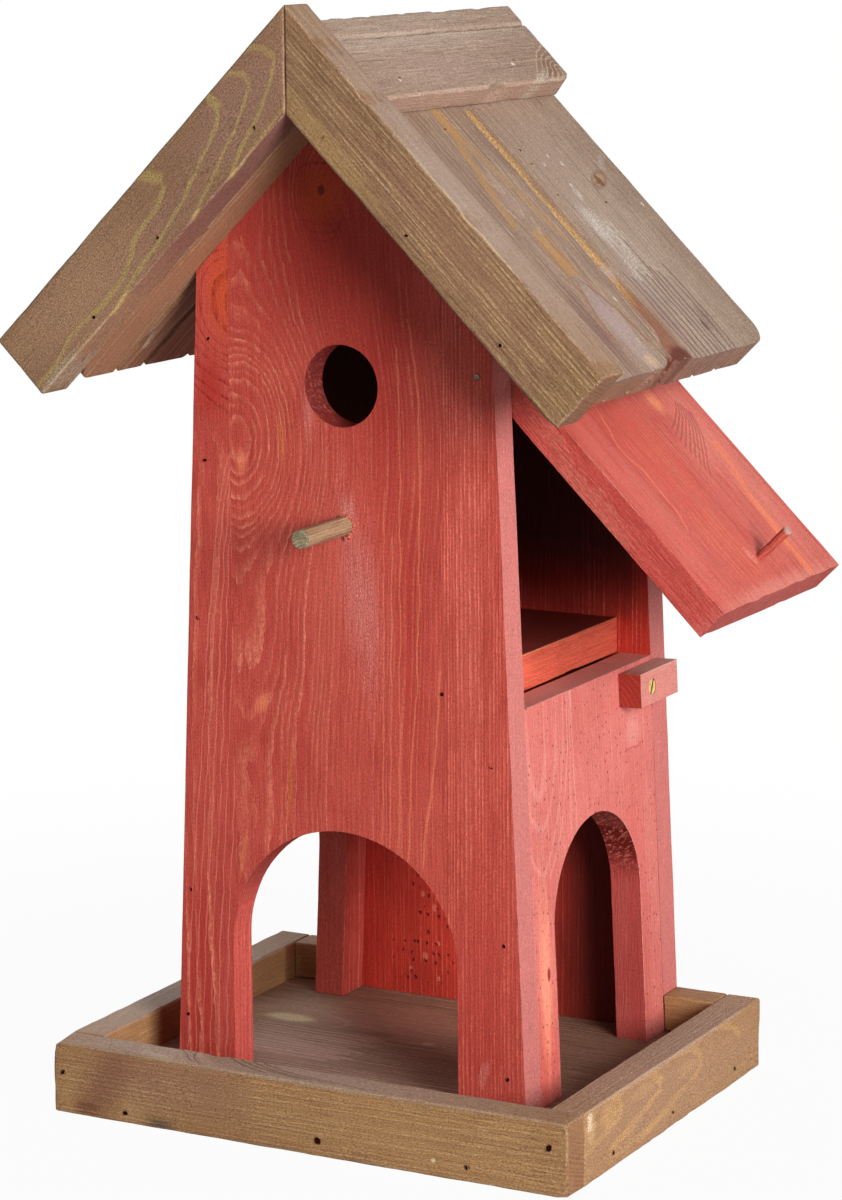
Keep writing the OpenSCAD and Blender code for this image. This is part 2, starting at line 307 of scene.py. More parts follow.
class Grain:
    """How the wood of one board grew. Lengths are in millimetres in the board's own frame:
    x along the grain, y across the face and z through the board, from the point origin."""

    # the rings: where their middle is, how far apart they are, the share of late wood,
    # how far they wander, how ragged they are, and how evenly and how strongly they show
    pith, ring, width = (0, 60), 3.2, 0.12
    wobble, feather, even, lines = 3.0, 0.5, 0.0, 0.8
    rises = ()  # cathedrals, as (centre, length, height)
    knots = ()  # (x, y, radius, how far the rings swell, how wide)
    knot_colour = (0.05, 0.01, 0.006)
    calm = None  # (y0, y1, share): past y1 the rings wander by that share only
    change = None  # (x0, x1, colour): between them the rings turn to that colour
    end_line = None  # the colour of the rings in the end grain
    marks = veins = ()
    skin = None  # how far in the veins reach
    pores = None
    # dark streaks, sandy grit, clouds of stain, worn edges, pits, and how deep it all is
    streaks, grit, blotches, wear, pits, relief = 0.6, 1.0, 0.5, 0.5, 0.5, 1.0
    under = below = None  # another colour, and the depth under the face where it begins
    sawn, sawn_shade = None, 0.3  # the colour of sawn faces, and how much of it shows
    torn = (0.5, 0.09, 0.07)  # the bright fibres of coarsely sawn faces
    shade_colour = NEST_SHADE  # the painted shade of the nest room
    ends = 0.35  # how much blotch colour the end grain takes
    seed = 0.0

    def __init__(self, origin, along, across, **growth):
        self.origin, self.along, self.across = origin, along, across
        for name, value in growth.items():
            if not hasattr(Grain, name):
                raise TypeError(f"a grain has no {name}")
            setattr(self, name, value)

    def turn(self):
        along, across = self.along.normalized(), self.across.normalized()
        return Matrix((along, across, along.cross(across))).transposed().to_euler()


def board_place(g, grain):
    """The board's own x, y and z in millimetres."""
    place = g.wire("ShaderNodeMapping", (
        ("Vector", g.place()), ("Location", grain.origin), ("Rotation", grain.turn()),
        ("Scale", (MM, MM, MM)),
    ), vector_type="TEXTURE")
    split = g.node("ShaderNodeSeparateXYZ", ((0, place),))
    return (Wire(g, socket) for socket in split.outputs)


def growth(g, grain, x, y, z):
    """The late wood of each ring, 0 to 1, and the cores of the knots. The numbers that x, y
    and z are multiplied by say how often a pattern turns over along, across and through
    the wood, per millimetre."""
    seed = grain.seed
    drift = g.noise(g.vector(x * 0.007 + seed, y * 0.012, z * 0.012)) - 0.5
    sway = g.noise(g.vector(x * 0.035 + seed, y * 0.07, z * 0.07 + 7.0), detail=3.0,
                   roughness=0.45 + 0.3 * grain.feather) - 0.5
    if grain.calm:
        near, far, share = grain.calm
        keep = g.step(y, far, near) * (1.0 - share) + share
        drift, sway = drift * keep, sway * keep
    side = y - grain.pith[0] + drift * (3 * grain.wobble)
    depth = z - grain.pith[1] + sway * (2 * grain.wobble)
    for centre, length, height in grain.rises:
        bell = g.math("POWER", (x - centre) / length, 2.0)
        depth = depth + (1.0 - g.math("EXPONENT", -bell)) * height
    radius = g.math("SQRT", side * side + depth * depth)
    if grain.feather:
        jag = g.noise(g.vector(x * 0.11, y * 0.5, z * 0.5 + seed)) - 0.5
        if grain.calm:
            jag = jag * keep
        radius = radius + jag * (grain.feather * 2.4)

    knot_core = None
    for knot_x, knot_y, knot_radius, swell, spread in grain.knots:
        dx, dy = (x - knot_x) / 1.3, y - knot_y + sway * 5.0
        reach = g.math("SQRT", dx * dx + dy * dy)
        near = g.math("EXPONENT", reach * reach * (-0.5 / spread ** 2))
        radius = radius + near * swell
        core = g.step(reach + sway * 3.0, knot_radius * 1.1, knot_radius * 0.8)
        radius = radius + core * (reach * 1.6 - radius)
        knot_core = core if knot_core is None else g.math("MAXIMUM", knot_core, core)

    wander = g.noise(g.vector(radius * 0.12, seed * 3.1, 0.0), detail=1.0)
    phase = radius / grain.ring + wander * 2.4
    within = g.math("FRACT", phase)
    late = g.step(within, 1 - 3.2 * grain.width, 0.96) * g.step(within, 1.0, 0.975)
    each = g.noise(g.vector(g.math("FLOOR", phase) * 3.7 + seed, x * 0.004, y * 0.01),
                   detail=1.0)
    broken = g.noise(g.vector(x * 0.03, y * 0.25 + seed, z * 0.25))
    dots = g.noise(g.vector(x * 0.4, y * 0.6, z * 0.6 + seed), detail=0.0)
    faintest = 0.25 + 0.5 * grain.even
    late = late * (faintest + (1.15 - faintest) * g.step(each, 0.40, 0.60))
    late = late * (0.3 + 0.9 * g.step(broken, 0.36, 0.6)) * (0.7 + 0.6 * g.step(dots, 0.4, 0.62))
    if grain.calm:
        late = late * (keep * 0.65 + 0.35)
    return late, knot_core


def wood(name, stain, grain):
    """A stained board whose rings, fibres and knots run through the solid wood."""
    g = material(name)
    x, y, z = board_place(g, grain)
    seed = grain.seed
    late, knot_core = growth(g, grain, x, y, z)

    # fine fibres, broad bands and clouds of stain, and the sandy grit of a sawn face
    fibre = g.noise(g.vector(x * 0.07, y * 1.5 + seed, z * 1.5), detail=3.0, roughness=0.65)
    thread = g.noise(g.vector(x * 0.012, y * 0.36, z * 0.36 + seed), detail=3.0, roughness=0.6)
    cloud = g.noise(g.vector(x * 0.014, y * 0.032, z * 0.032 + seed), detail=4.0, roughness=0.6)
    grit = g.noise(g.vector(x * 1.0, y * 2.3 + seed, z * 2.3), detail=2.0, roughness=0.7)

    colour = g.mix(g.step(fibre, 0.40, 0.72) * grain.streaks, stain.base, stain.dark)
    colour = g.mix(g.step(thread, 0.52, 0.74) * (grain.streaks * 0.7), colour, stain.dark)
    layers = g.noise(g.vector(x * 0.02, y * 0.02, z * 1.0 + seed), detail=2.0, roughness=0.6)
    colour = g.mix(g.step(layers, 0.47, 0.6) * (grain.streaks * 0.35), colour, stain.dark)
    colour = g.mix(g.step(cloud, 0.48, 0.66) * grain.blotches, colour, stain.blotch)
    if grain.below is not None:
        deep = g.step(z, grain.below, grain.below + math.copysign(1.5, grain.below))
        colour = g.mix(deep, colour, grain.under)

    # marks under the grain lines, the lines themselves, and what lies over them
    def marked(colour, over):
        for mark in (mark for mark in grain.marks if mark.over == over):
            colour = g.mix(patch(g, mark, x, y, thread, fibre, grit), colour, mark.colour)
        return colour

    colour = marked(colour, False)
    end, cut = g.attribute("end"), g.attribute("cut")
    line = stain.line
    if grain.change:
        line = g.mix(g.step(x, *grain.change[:2]), line, grain.change[2])
    line = g.mix(end, line, grain.end_line or stain.dark)
    colour = g.mix(late * (end * 0.45 + grain.lines), colour, line)
    if grain.veins:
        bend = g.noise(g.vector(x * 0.07, y * 0.1, seed), detail=2.0, roughness=0.5) - 0.5
        for vein in (vein for vein in grain.veins if not vein.top):
            shown = drawn(g, vein, x, y, z, bend, thread)
            if vein.speckle:
                across = g.noise(g.vector(x * 1.4, y * 0.7, 0.0), detail=3.0, roughness=0.75)
                broken = g.step(across, 0.44, 0.54)
                shown = shown * (1.0 - vein.speckle + vein.speckle * 1.2 * broken)
            if grain.skin:
                shown = shown * g.step(g.math("ABSOLUTE", z), grain.skin, grain.skin * 0.5)
            colour = g.mix(shown, colour, vein.colour)
    colour = marked(colour, True)
    for vein in (vein for vein in grain.veins if vein.top):
        colour = g.mix(drawn(g, vein, x, y, z, bend, thread), colour, vein.colour)
    if knot_core is not None:
        colour = g.mix(knot_core * 0.8, colour, grain.knot_colour)
    sunk = 0.0
    if grain.pores:
        sunk = pitted(g, grain.pores, x, y, thread, fibre, grit)
        colour = g.mix(sunk * 0.75, colour, grain.pores.colour)
        sunk = sunk * grain.pores.depth

    # pits, then the colours of what was sawn, and last the painted light on lit faces, the painted shade of the
    # nest room, the grit and the wear
    pit = g.step(grit + fibre * 0.5, 0.44, 0.37) * grain.pits
    colour = g.mix(pit, colour, darker(stain.dark, 0.4))
    colour = g.mix(cut * grain.sawn_shade, colour, grain.sawn or stain.dark)
    coarse = g.step(cut, 0.65, 0.95)
    torn = g.noise(g.vector(x * 0.5, y * 0.5 + x * 0.5, z * 0.5 + x * 0.5), detail=3.0,
                   roughness=0.75)
    colour = g.mix(coarse * 0.8, colour, TORN_RED)
    colour = g.mix(coarse * g.step(torn, 0.50, 0.62) * 0.85, colour, grain.torn)
    colour = g.mix(end * grain.ends, colour, stain.blotch)
    # painted light: faces marked pale, the sides and tops that the lamps light, take the worn colour
    colour = g.mix(g.attribute("pale") * 0.75, colour, stain.worn)
    # painted shade: faces in the nest room, and the back wall below it, turn dark
    colour = g.mix(g.attribute("indoors") * 0.95, colour, grain.shade_colour)
    colour = g.scale(colour, 1.0 + (grit - 0.5) * (grain.grit * 1.5))
    wear = g.attribute("wear") * g.step(cloud + thread * 0.6 + grit * 0.5, 0.98, 1.2)
    colour = g.mix(wear * grain.wear, colour, stain.worn)

    height = fibre * 0.45 + grit * 0.42 + late * 0.3 - pit * 0.8
    height = height + torn * (coarse * 3.5) + fibre * (cut * 0.8) - sunk
    rough = stain.roughness + (fibre - 0.5) * 0.25 + wear * 0.15
    return g.finish(colour, rough, g.bump(height, 0.00042 * grain.relief), specular=0.2)


def pitted(g, pores, x, y, thread, fibre, grit):
    """How deep the small round holes are, 0 to 1."""
    cells = g.node("ShaderNodeTexVoronoi", (
        ("Vector", g.vector(x + (thread - 0.5) * 6.0, y + (fibre - 0.5) * 0.6, 0.0)),
        ("Scale", 1 / pores.apart),
    ), voronoi_dimensions="2D")
    size = Wire(g, cells.outputs["Distance"]) * pores.apart
    chance = g.wire("ShaderNodeSeparateColor", ((0, Wire(g, cells.outputs["Color"])),))
    wide = (chance - 0.35) * (1.6 * pores.radius)
    sunk = g.step(size - wide, 0.25, -0.35)
    if pores.region:
        sunk = sunk * patch(g, pores.region, x, y, thread, fibre, grit)
    return sunk


def path(g, vein, x):
    """The height of a vein's path at x, read from a curve."""
    lo, span, low, high = vein.reach()
    made = g.node("ShaderNodeFloatCurve", (("Value", (x - lo) * (1 / span)),))
    curve = made.mapping.curves[0]
    while len(curve.points) < len(vein.points):
        curve.points.new(0.5, 0.5)
    for point, (a, b) in zip(curve.points, vein.points):
        point.location = ((a - lo) / span, (b - low) / (high - low))
    made.mapping.update()
    return Wire(g, made.outputs[0]) * (high - low) + low


def drawn(g, vein, x, y, z, bend, thread):
    """How strongly a vein shows, as a wavering line with soft sides."""
    if vein.top:
        face = g.step(y, 30.0, 31.5)
        y = -z
    if vein.steep:
        x, y = y, x
    here, ahead = path(g, vein, x), path(g, vein, x + 0.5)
    slope = (ahead - here) * 2.0
    away = g.math("ABSOLUTE", y + bend * 3.0 - here)
    away = away / g.math("SQRT", slope * slope + 1.0) + (thread - 0.5) * (vein.width * 1.6)
    lo, hi = vein.points[0][0], vein.points[-1][0]
    ends = g.step(x, lo - 1.0, lo + 1.5) * g.step(x, hi + 1.0, hi - 1.5)
    shown = g.step(away, vein.width * 1.25, vein.width * 0.35) * ends * vein.strength
    return shown * face if vein.top else shown


def patch(g, mark, x, y, thread, fibre, grit):
    """How strongly a mark shows, with an edge that the grain breaks up."""
    dx, dy = x - mark.x, y - mark.y
    if mark.lean:
        dy = dy - dx * mark.lean
    along, over = dx / mark.length, dy / mark.width
    reach = g.math("SQRT", along * along + over * over)
    reach = reach + (thread + fibre - 1.0) * (mark.ragged * 2.0)
    shown = g.step(reach, 1.15 + mark.soft * 0.4, 0.55 - mark.soft * 0.5) * mark.strength
    if mark.speckle:
        shown = shown * (1.0 - mark.speckle + mark.speckle * 1.6 * g.step(grit, 0.4, 0.6))
    return shown


def plain_wood(name, light, dark, shine=0.3):
    """Torn fibres round a nail or at a break."""
    g = material(name)
    fibre = g.noise(g.place(), scale=1500.0, detail=3.0)
    colour = g.mix(g.step(fibre, 0.35, 0.65), dark, light)
    return g.finish(colour, 0.75, g.bump(fibre, 0.0002), specular=shine)


def metal(name, colour, metallic=1.0):
    """A brushed, slightly tarnished metal."""
    g = material(name)
    tarnish = g.noise(g.place(), scale=700.0, detail=3.0)
    mixed = g.mix(g.step(tarnish, 0.42, 0.75), colour, darker(colour, 0.45))
    rough = 0.35 + (tarnish - 0.5) * 0.3
    return g.finish(mixed, rough, g.bump(tarnish, 0.00006), metallic=metallic)


# ---------------------------------------------------------------- modelling


def deselect():
    if bpy.context.object and bpy.context.object.mode != "OBJECT":
        bpy.ops.object.mode_set(mode="OBJECT")
    bpy.ops.object.select_all(action="DESELECT")


def take(piece):
    """Makes piece the only selected and active object."""
    deselect()
    piece.select_set(True)
    bpy.context.view_layer.objects.active = piece


def edit(piece):
    """Opens piece in edit mode with all of it selected."""
    take(piece)
    bpy.ops.object.mode_set(mode="EDIT")
    bpy.ops.mesh.select_mode(type="VERT")
    bpy.ops.mesh.select_all(action="SELECT")


def leave():
    bpy.ops.object.mode_set(mode="OBJECT")


def apply_place(piece):
    """Puts the piece's place into its mesh."""
    take(piece)
    bpy.ops.object.transform_apply(location=True, rotation=True, scale=True)


def modify(piece, kind, **settings):
    """Adds a modifier and applies it."""
    take(piece)
    bpy.ops.object.modifier_add(type=kind)
    modifier = piece.modifiers[-1]
    for key, value in settings.items():
        setattr(modifier, key, value)
    bpy.ops.object.modifier_apply(modifier=modifier.name)


def linked(name, mesh):
    """A new object in the scene."""
    piece = bpy.data.objects.new(name, mesh)
    bpy.context.scene.collection.objects.link(piece)
    return piece


def board_copy(node, name):
    """A copy of a construction solid with its triangles merged into whole faces."""
    piece = linked(name, NODES[node].data.copy())
    piece.data.materials.clear()
    edit(piece)
    bpy.ops.mesh.remove_doubles(threshold=0.00001)
    bpy.ops.mesh.dissolve_limited(angle_limit=math.radians(1.0))
    leave()
    return piece


def slice_across(piece, direction, cell):
    """Cuts the piece into slices so that its long faces and edges can be uneven."""
    direction = direction.normalized()
    reach = [vertex.co.dot(direction) for vertex in piece.data.vertices]
    lo, hi = min(reach), max(reach)
    count = max(1, round((hi - lo) / cell))
    for index in range(1, count):
        edit(piece)
        bpy.ops.mesh.bisect(
            plane_co=direction * (lo + (hi - lo) * index / count), plane_no=direction
        )
        leave()


def round_edges(piece, radius):
    """Rounds all the piece's sharp edges, and paints the middle of each as worn."""
    edit(piece)
    bpy.ops.mesh.select_all(action="DESELECT")
    bpy.ops.mesh.select_mode(type="EDGE")
    bpy.ops.mesh.edges_select_sharp(sharpness=math.radians(38))
    bpy.ops.mesh.bevel(offset=radius, segments=3, affect="EDGES", clamp_overlap=True)
    bpy.ops.mesh.select_mode(type="FACE")
    leave()
    mesh = piece.data
    flat = {index for face in mesh.polygons if not face.select for index in face.vertices}
    worn = [0.0 if vertex.index in flat else 1.0 for vertex in mesh.vertices]
    wear = mesh.attributes.get("wear") or mesh.attributes.new("wear", "FLOAT", "POINT")
    wear.data.foreach_set("value", worn)


def paint(piece, name, rule):
    """Paints each face by rule(centre, normal)."""
    mesh = piece.data
    layer = mesh.attributes.new(name, "FLOAT", "FACE")
    layer.data.foreach_set(
        "value", [float(rule(face.center, face.normal)) for face in mesh.polygons]
    )


def rise(value, start, length):
    """0 up to start, 1 past start + length, and even between."""
    return min(1.0, max(0.0, (value - start) / length))


def paint_room_shade(piece):
    """Paints shade on the faces that look into the nest room, darker towards its top, and
    on the part of the back wall that the room's shade reaches below it."""
    lo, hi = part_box("nest_floor")
    half_height, wall, back_wall_y = 0.07, 0.013, 0.07
    room = Vector(((lo.x + hi.x) / 2, (lo.y + hi.y) / 2, hi.z + half_height))
    mesh = piece.data
    values = [0.0] * len(mesh.loops)
    for face in mesh.polygons:
        normal, centre = face.normal, face.center
        below = normal.y < -0.7 and centre.y > back_wall_y and centre.z < lo.z
        inward = (room - centre).dot(normal) > 0.3 * (room - centre).length
        inside = WALL_Y + wall < centre.y < hi.y + 0.002 and centre.z > hi.z - 0.0005
        if not below and not (inward and inside):
            continue
        for corner in face.loop_indices:
            place = mesh.vertices[mesh.loops[corner].vertex_index].co
            if below:
                values[corner] = 0.84 * rise(place.x, 0.016, 0.026)
            else:
                # painted shade: the room's floor is fully darkened, its walls more towards the top
                darkness = 1.0 if normal.z > 0.7 else rise(place.z, 0.200, 0.034)
                values[corner] = darkness * rise(hi.x + 0.018 - place.x, 0.0, 0.012)
    mesh.attributes.new("indoors", "FLOAT", "CORNER").data.foreach_set("value", values)


def fray(piece, amount, size, seed, share):
    """Pushes stretches of the worn edges in, as knocks and splinters do."""
    mesh = piece.data
    wear = np.zeros(len(mesh.vertices))
    mesh.attributes["wear"].data.foreach_get("value", wear)
    for vertex in mesh.vertices:
        if wear[vertex.index] < 0.5:
            continue
        where = vertex.co / size + Vector((seed, seed * 0.7, 3.1))
        knock = noise.fractal(where, 1.0, 2.0, 3) + 0.6 * noise.noise(where * 0.23)
        push = max(0.0, knock - (0.5 - share) * 0.8)
        vertex.co -= vertex.normal * min(1.0, push * 2.2) * amount
    mesh.update()


def dent(piece, place, radius, depth, direction):
    """Pushes the surface near a place along a direction, as a break or a bruise."""
    for vertex in piece.data.vertices:
        reach = (vertex.co - place).length
        if reach < radius:
            ragged = 0.75 + 0.5 * noise.noise(vertex.co * 900.0)
            vertex.co += direction * depth * (1 - (reach / radius) ** 2) * ragged
    piece.data.update()


def weather(piece, size, depth, seed):
    """Makes the faces and edges slightly uneven, as planed and worn wood is."""
    clouds = bpy.data.textures.new(f"{piece.name} unevenness", type="CLOUDS")
    clouds.noise_scale = size
    clouds.noise_depth = 2
    empty = linked("seed", None)
    empty.location = (seed * 0.37, seed * 0.11, seed * 0.23)
    modify(piece, "DISPLACE", texture=clouds, strength=depth, mid_level=0.5,
           texture_coords="OBJECT", texture_coords_object=empty)
    bpy.data.objects.remove(empty)
    bpy.data.textures.remove(clouds)


def smooth(piece):
    take(piece)
    bpy.ops.object.shade_smooth_by_angle(angle=math.radians(32))
    modify(piece, "WEIGHTED_NORMAL", keep_sharp=True)


def dress(piece, node, finish):
    """Gives a piece its material and body, in place of a construction solid."""
    piece.data.materials.clear()
    piece.data.materials.append(finish)
    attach(piece, BODY_OF[node])
    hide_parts(node)


def board(node, name, stain, grain, radius, depth, cell=0.005, seed=None, is_cut=None,
          is_lit=None, knocks=0.0, share=0.5, dents=()):
    """A weathered board with its own wood, in the place of a construction solid. Its edges
    are rounded by radius, its faces wander by depth and its edges are knocked in by knocks,
    along share of their length. dents are (place, reach, depth, direction)."""
    along, across = grain.along, grain.across
    seed = grain.seed if seed is None else seed
    piece = board_copy(node, f"{node}_wood")
    slice_across(piece, along, cell)
    slice_across(piece, across, cell)
    round_edges(piece, radius)
    if is_cut:
        paint(piece, "cut", is_cut)
    # painted light: the faces that this rule picks are painted paler, as lamplight
    if is_lit:
        paint(piece, "pale", is_lit)
    paint(piece, "end", lambda centre, normal: abs(normal.dot(along)) > 0.7)
    # boards that face the nest room get painted shade
    if node.endswith(("wall", "nest_floor")) or "_board_" in node and "ridge" not in node:
        paint_room_shade(piece)
    if knocks:
        fray(piece, knocks, cell * 1.3, seed, share)
    for place, reach, depth_in, direction in dents:
        dent(piece, place, reach, depth_in, direction)
    weather(piece, 0.018, depth, seed)
    smooth(piece)
    dress(piece, node, wood(name, stain, grain))


def small_piece(node, name, radius, way=None, cell=0.0, uneven=None):
    """A rounded copy of a small construction solid, cut across and made uneven if asked."""
    piece = board_copy(node, name)
    if way:
        slice_across(piece, way, cell)
    round_edges(piece, radius)
    if uneven:
        weather(piece, *uneven)
    smooth(piece)
    return piece


# ---------------------------------------------------------------- settings


def colour_property(label, note, red, green, blue):
    return bpy.props.FloatVectorProperty(
        name=label, description=note, subtype="COLOR", size=3, min=0.0, max=1.0,
        default=rgb(red, green, blue),
    )


def length_property(label, note, default):
    return bpy.props.FloatProperty(
        name=label, description=note, default=default, min=0.0, unit="LENGTH", subtype="DISTANCE"
    )


def power_property(label, note, default):
    return bpy.props.FloatProperty(name=label, description=note, default=default, unit="POWER")


class FeederFinishes(bpy.types.PropertyGroup):
    """Colours of the stains and metals."""

    red: colour_property("Red stain", "Open wood of the front wall", 201, 84, 72)
    red_dark: colour_property("Dark red", "Dark fibres of the front wall", 160, 46, 38)
    red_line: colour_property("Red grain line", "Late wood of the front wall", 232, 134, 108)
    pink: colour_property("Pale red stain", "Open wood of the low panel", 215, 120, 111)
    pink_dark: colour_property("Pale red fibre", "Dark fibres of the low panel", 200, 98, 90)
    pink_line: colour_property("Pale red line", "Late wood of the low panel", 232, 154, 140)
    hatch: colour_property("Hatch stain", "Open wood of the hatch", 206, 94, 83)
    hatch_dark: colour_property("Hatch dark", "Dark fibres of the hatch", 180, 66, 57)
    hatch_line: colour_property("Hatch line", "Late wood of the hatch", 212, 126, 106)
    inside: colour_property("Inside red", "Open wood of the back wall", 206, 64, 50)
    inside_dark: colour_property("Inside dark", "Dark fibres of the back wall", 164, 36, 28)
    inside_line: colour_property("Inside line", "Late wood of the back wall", 226, 100, 80)
    brown: colour_property("Roof stain", "Open wood of the roof planks", 163, 137, 118)
    brown_dark: colour_property("Roof dark", "Dark fibres of the roof planks", 122, 94, 76)
    brown_line: colour_property("Roof line", "Late wood of the roof planks", 180, 156, 132)
    barge: colour_property("Bargeboard stain", "Open wood of the bargeboards", 150, 114, 84)
    barge_dark: colour_property("Bargeboard dark", "Dark fibres of the bargeboards", 108, 74, 54)
    barge_line: colour_property("Bargeboard line", "Late wood of the bargeboards", 186, 158, 112)
    rim: colour_property("Tray stain", "Open wood of the tray's battens", 170, 128, 86)
    rim_dark: colour_property("Tray dark", "Dark fibres of the tray's battens", 132, 92, 62)
    rim_line: colour_property("Tray line", "Late wood of the tray's battens", 186, 152, 110)
    floor: colour_property("Floor stain", "Open wood of the tray's floor", 150, 116, 94)
    floor_dark: colour_property("Floor dark", "Dark fibres of the tray's floor", 112, 80, 64)
    floor_line: colour_property("Floor line", "Late wood of the tray's floor", 186, 150, 124)
    raw: colour_property("Bare wood", "Open wood of the perch", 168, 138, 108)
    raw_dark: colour_property("Bare wood fibre", "Dark fibres of the perch", 120, 90, 62)
    raw_line: colour_property("Bare wood line", "Late wood of the perch", 196, 168, 134)
    bare_orange: colour_property("Sawn orange", "The nest floor's sawn edge", 228, 102, 79)
    flame: colour_property("Flame", "Heartwood flames in the roof planks", 172, 130, 84)
    brass: colour_property("Brass", "The button's screw", 248, 208, 128)
    steel: colour_property("Steel", "The nails that the hatch swings on", 128, 116, 100)
    hole: colour_property("Nail hole", "The dark bottoms of nail holes", 46, 15, 10)


class FeederWear(bpy.types.PropertyGroup):
    """How worn the boards are."""

    wall_edge: length_property("Wall edge", "Radius of the wall boards' edges", 0.0007)
    roof_edge: length_property("Roof edge", "Radius of the roof planks' edges", 0.0022)
    barge_edge: length_property("Bargeboard edge", "Radius of the bargeboards' edges", 0.0014)
    tray_edge: length_property("Tray edge", "Radius of the battens' edges", 0.0011)
    hatch_edge: length_property("Hatch edge", "Radius of the hatch's edges", 0.0010)
    cell: length_property("Cell", "Size of the cells that the boards are cut into", 0.009)
    unevenness: length_property("Unevenness", "How far the faces wander", 0.0006)


class FeederStage(bpy.types.PropertyGroup):
    """The camera and the lamps."""

    lens: bpy.props.FloatProperty(
        name="Lens", description="Focal length", default=113.23, unit="CAMERA")
    camera_place: bpy.props.FloatVectorProperty(
        name="Camera place", description="Where the camera stands",
        default=(0.76645, -1.41934, 0.52929), subtype="TRANSLATION", unit="LENGTH")
    camera_turn: bpy.props.FloatVectorProperty(
        name="Camera turn", description="Yaw to the left, pitch and roll",
        default=(math.radians(28.19), math.radians(-10.8), math.radians(-0.39)), subtype="EULER")
    key_power: power_property("Key lamp", "Power of the lamp on the right", 64.0)
    key_size: length_property("Key size", "Width of the lamp on the right", 1.05)
    fill_power: power_property("Fill lamp", "Power of the lamp behind on the left", 24.0)
    ambient: bpy.props.FloatProperty(
        name="Ambient", description="Strength of the light from all round", default=0.13)


# worn wood, which lit faces also take as painted light, blotches and roughness of each stain; its other colours
# are the user's
STAINS = {
    "red": (rgb(228, 150, 132), rgb(168, 56, 46)),
    "pink": (rgb(232, 176, 164), rgb(196, 98, 90), 0.56),
    "hatch": (rgb(214, 168, 156), rgb(176, 66, 54), 0.56),
    "inside": (rgb(206, 100, 84), rgb(160, 46, 36)),
    "brown": (rgb(196, 176, 156), rgb(142, 112, 98)),
    "barge": (rgb(198, 176, 140), rgb(134, 96, 80)),
    "rim": (rgb(190, 168, 138), rgb(138, 92, 70)),
    "floor": (rgb(150, 120, 100), rgb(126, 84, 70)),
    "raw": (rgb(206, 180, 146), rgb(146, 116, 86)),
}


def stain(name):
    """One finish, with the user's colours for its open wood, dark fibres and grain lines."""
    return Stain(*(user_colour(name + part) for part in ("", "_dark", "_line")), *STAINS[name])


# ---------------------------------------------------------------- nails

NAIL_RADIUS, NAIL_DEPTH, NAIL_TOP = 0.0013, 0.0016, 0.00018
HEAD_RADIUS = 0.00109
PROUD = 0.0001


def settle(name):
    """Names the primitive that was just added, and puts its place into its mesh."""
    piece = bpy.context.object
    piece.name = name
    apply_place(piece)
    return piece


def nail_mark(name, rim, hole):
    """One driven nail: a torn rim round a sunken head, pointing up at the origin."""
    deselect()
    bpy.ops.mesh.primitive_cylinder_add(vertices=14, radius=NAIL_RADIUS, depth=NAIL_DEPTH,
                                        location=(0, 0, NAIL_TOP - NAIL_DEPTH / 2))
    piece = settle(name)
    piece.data.materials.append(rim)
    piece.data.materials.append(hole)
    edit(piece)
    bpy.ops.mesh.select_all(action="DESELECT")
    leave()
    top = max(piece.data.polygons, key=lambda face: face.center.z)
    top.select = True
    bpy.ops.object.mode_set(mode="EDIT")
    bpy.ops.mesh.select_mode(type="FACE")
    for thickness, depth in ((0.00020, 0.0), (0.00008, -0.00016), (0.0002, -0.00005)):
        bpy.ops.mesh.inset(thickness=thickness, depth=depth)
    leave()
    for face in piece.data.polygons:
        inside = math.hypot(face.center.x, face.center.y) < HEAD_RADIUS
        face.material_index = 1 if inside and face.center.z > -0.001 else 0
    return piece


def nail_row(name, rim, places):
    """Sets copies of a nail mark at (place, outward, size) and joins them into one piece."""
    shade = user_colour("hole")
    hole = plain_wood("nail hole " + name, shade, darker(shade, 0.4), shine=0.05)
    model = nail_mark(name, rim, hole)
    deselect()
    for index, (place, outward, size) in enumerate(places):
        copy = linked(f"{name}_{index}", model.data.copy())
        turn = outward.to_track_quat("Z", "Y").to_matrix().to_4x4()
        spin = Matrix.Rotation(0.9 + index * 2.4, 4, "Z")
        squash = Matrix.Diagonal((size, size * (0.55 + 0.35 * (index % 3) / 2), 1, 1))
        copy.data.transform(Matrix.Translation(place) @ turn @ spin @ squash)
        for vertex in copy.data.vertices:
            tear = noise.noise(vertex.co * 1400.0) * 0.00012
            vertex.co += outward * tear
        copy.select_set(True)
        bpy.context.view_layer.objects.active = copy
    bpy.data.objects.remove(model)
    bpy.ops.object.join()
    row = bpy.context.object
    row.name = name
    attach(row, "house")


# ---------------------------------------------------------------- how each board grew

# Every grain starts from a corner of its board or of the house, and is drawn from there.
FRONT = Vector((HOUSE_X, WALL_Y, 0))
BACK = Vector((HOUSE_X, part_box("back_board_middle")[0].y, 0))
GRAINS = {}

GRAINS["front_board_left"] = Grain(
    FRONT, Z, X, pith=(-51, -6), ring=3.4, wobble=1.4, feather=0.3, seed=1.3,
    rises=((355, 34, 34), (110, 190, 6)), lines=0.5, width=0.15, even=0.6, grit=1.1,
    change=(285, 315, rgb(142, 26, 20)), sawn=rgb(196, 90, 84), sawn_shade=0.7,
    veins=[
        Vein([(12, -81.5 + 3.9 * k), (70, -79 + 3.9 * k), (120, -75 + 3.7 * k),
              (180, -69.5 + 3.3 * k), (230, -65 + 2.7 * k), (268 - 4 * k, -60 + 1.5 * k),
              (292 - 5 * k, -53.5)], 0.36, rgb(232, 132, 116), 0.5)
        for k in range(6)
    ],
    marks=(
        Mark(360, -57, 20, 8, rgb(206, 84, 46), 0.85, 0.2, soft=0.8),
        Mark(318, -64, 14, 6, rgb(176, 46, 36), 0.7, 0.3, soft=0.8),
        Mark(60, -74, 50, 10, rgb(178, 50, 42), 0.6, soft=0.5),
    ),
)

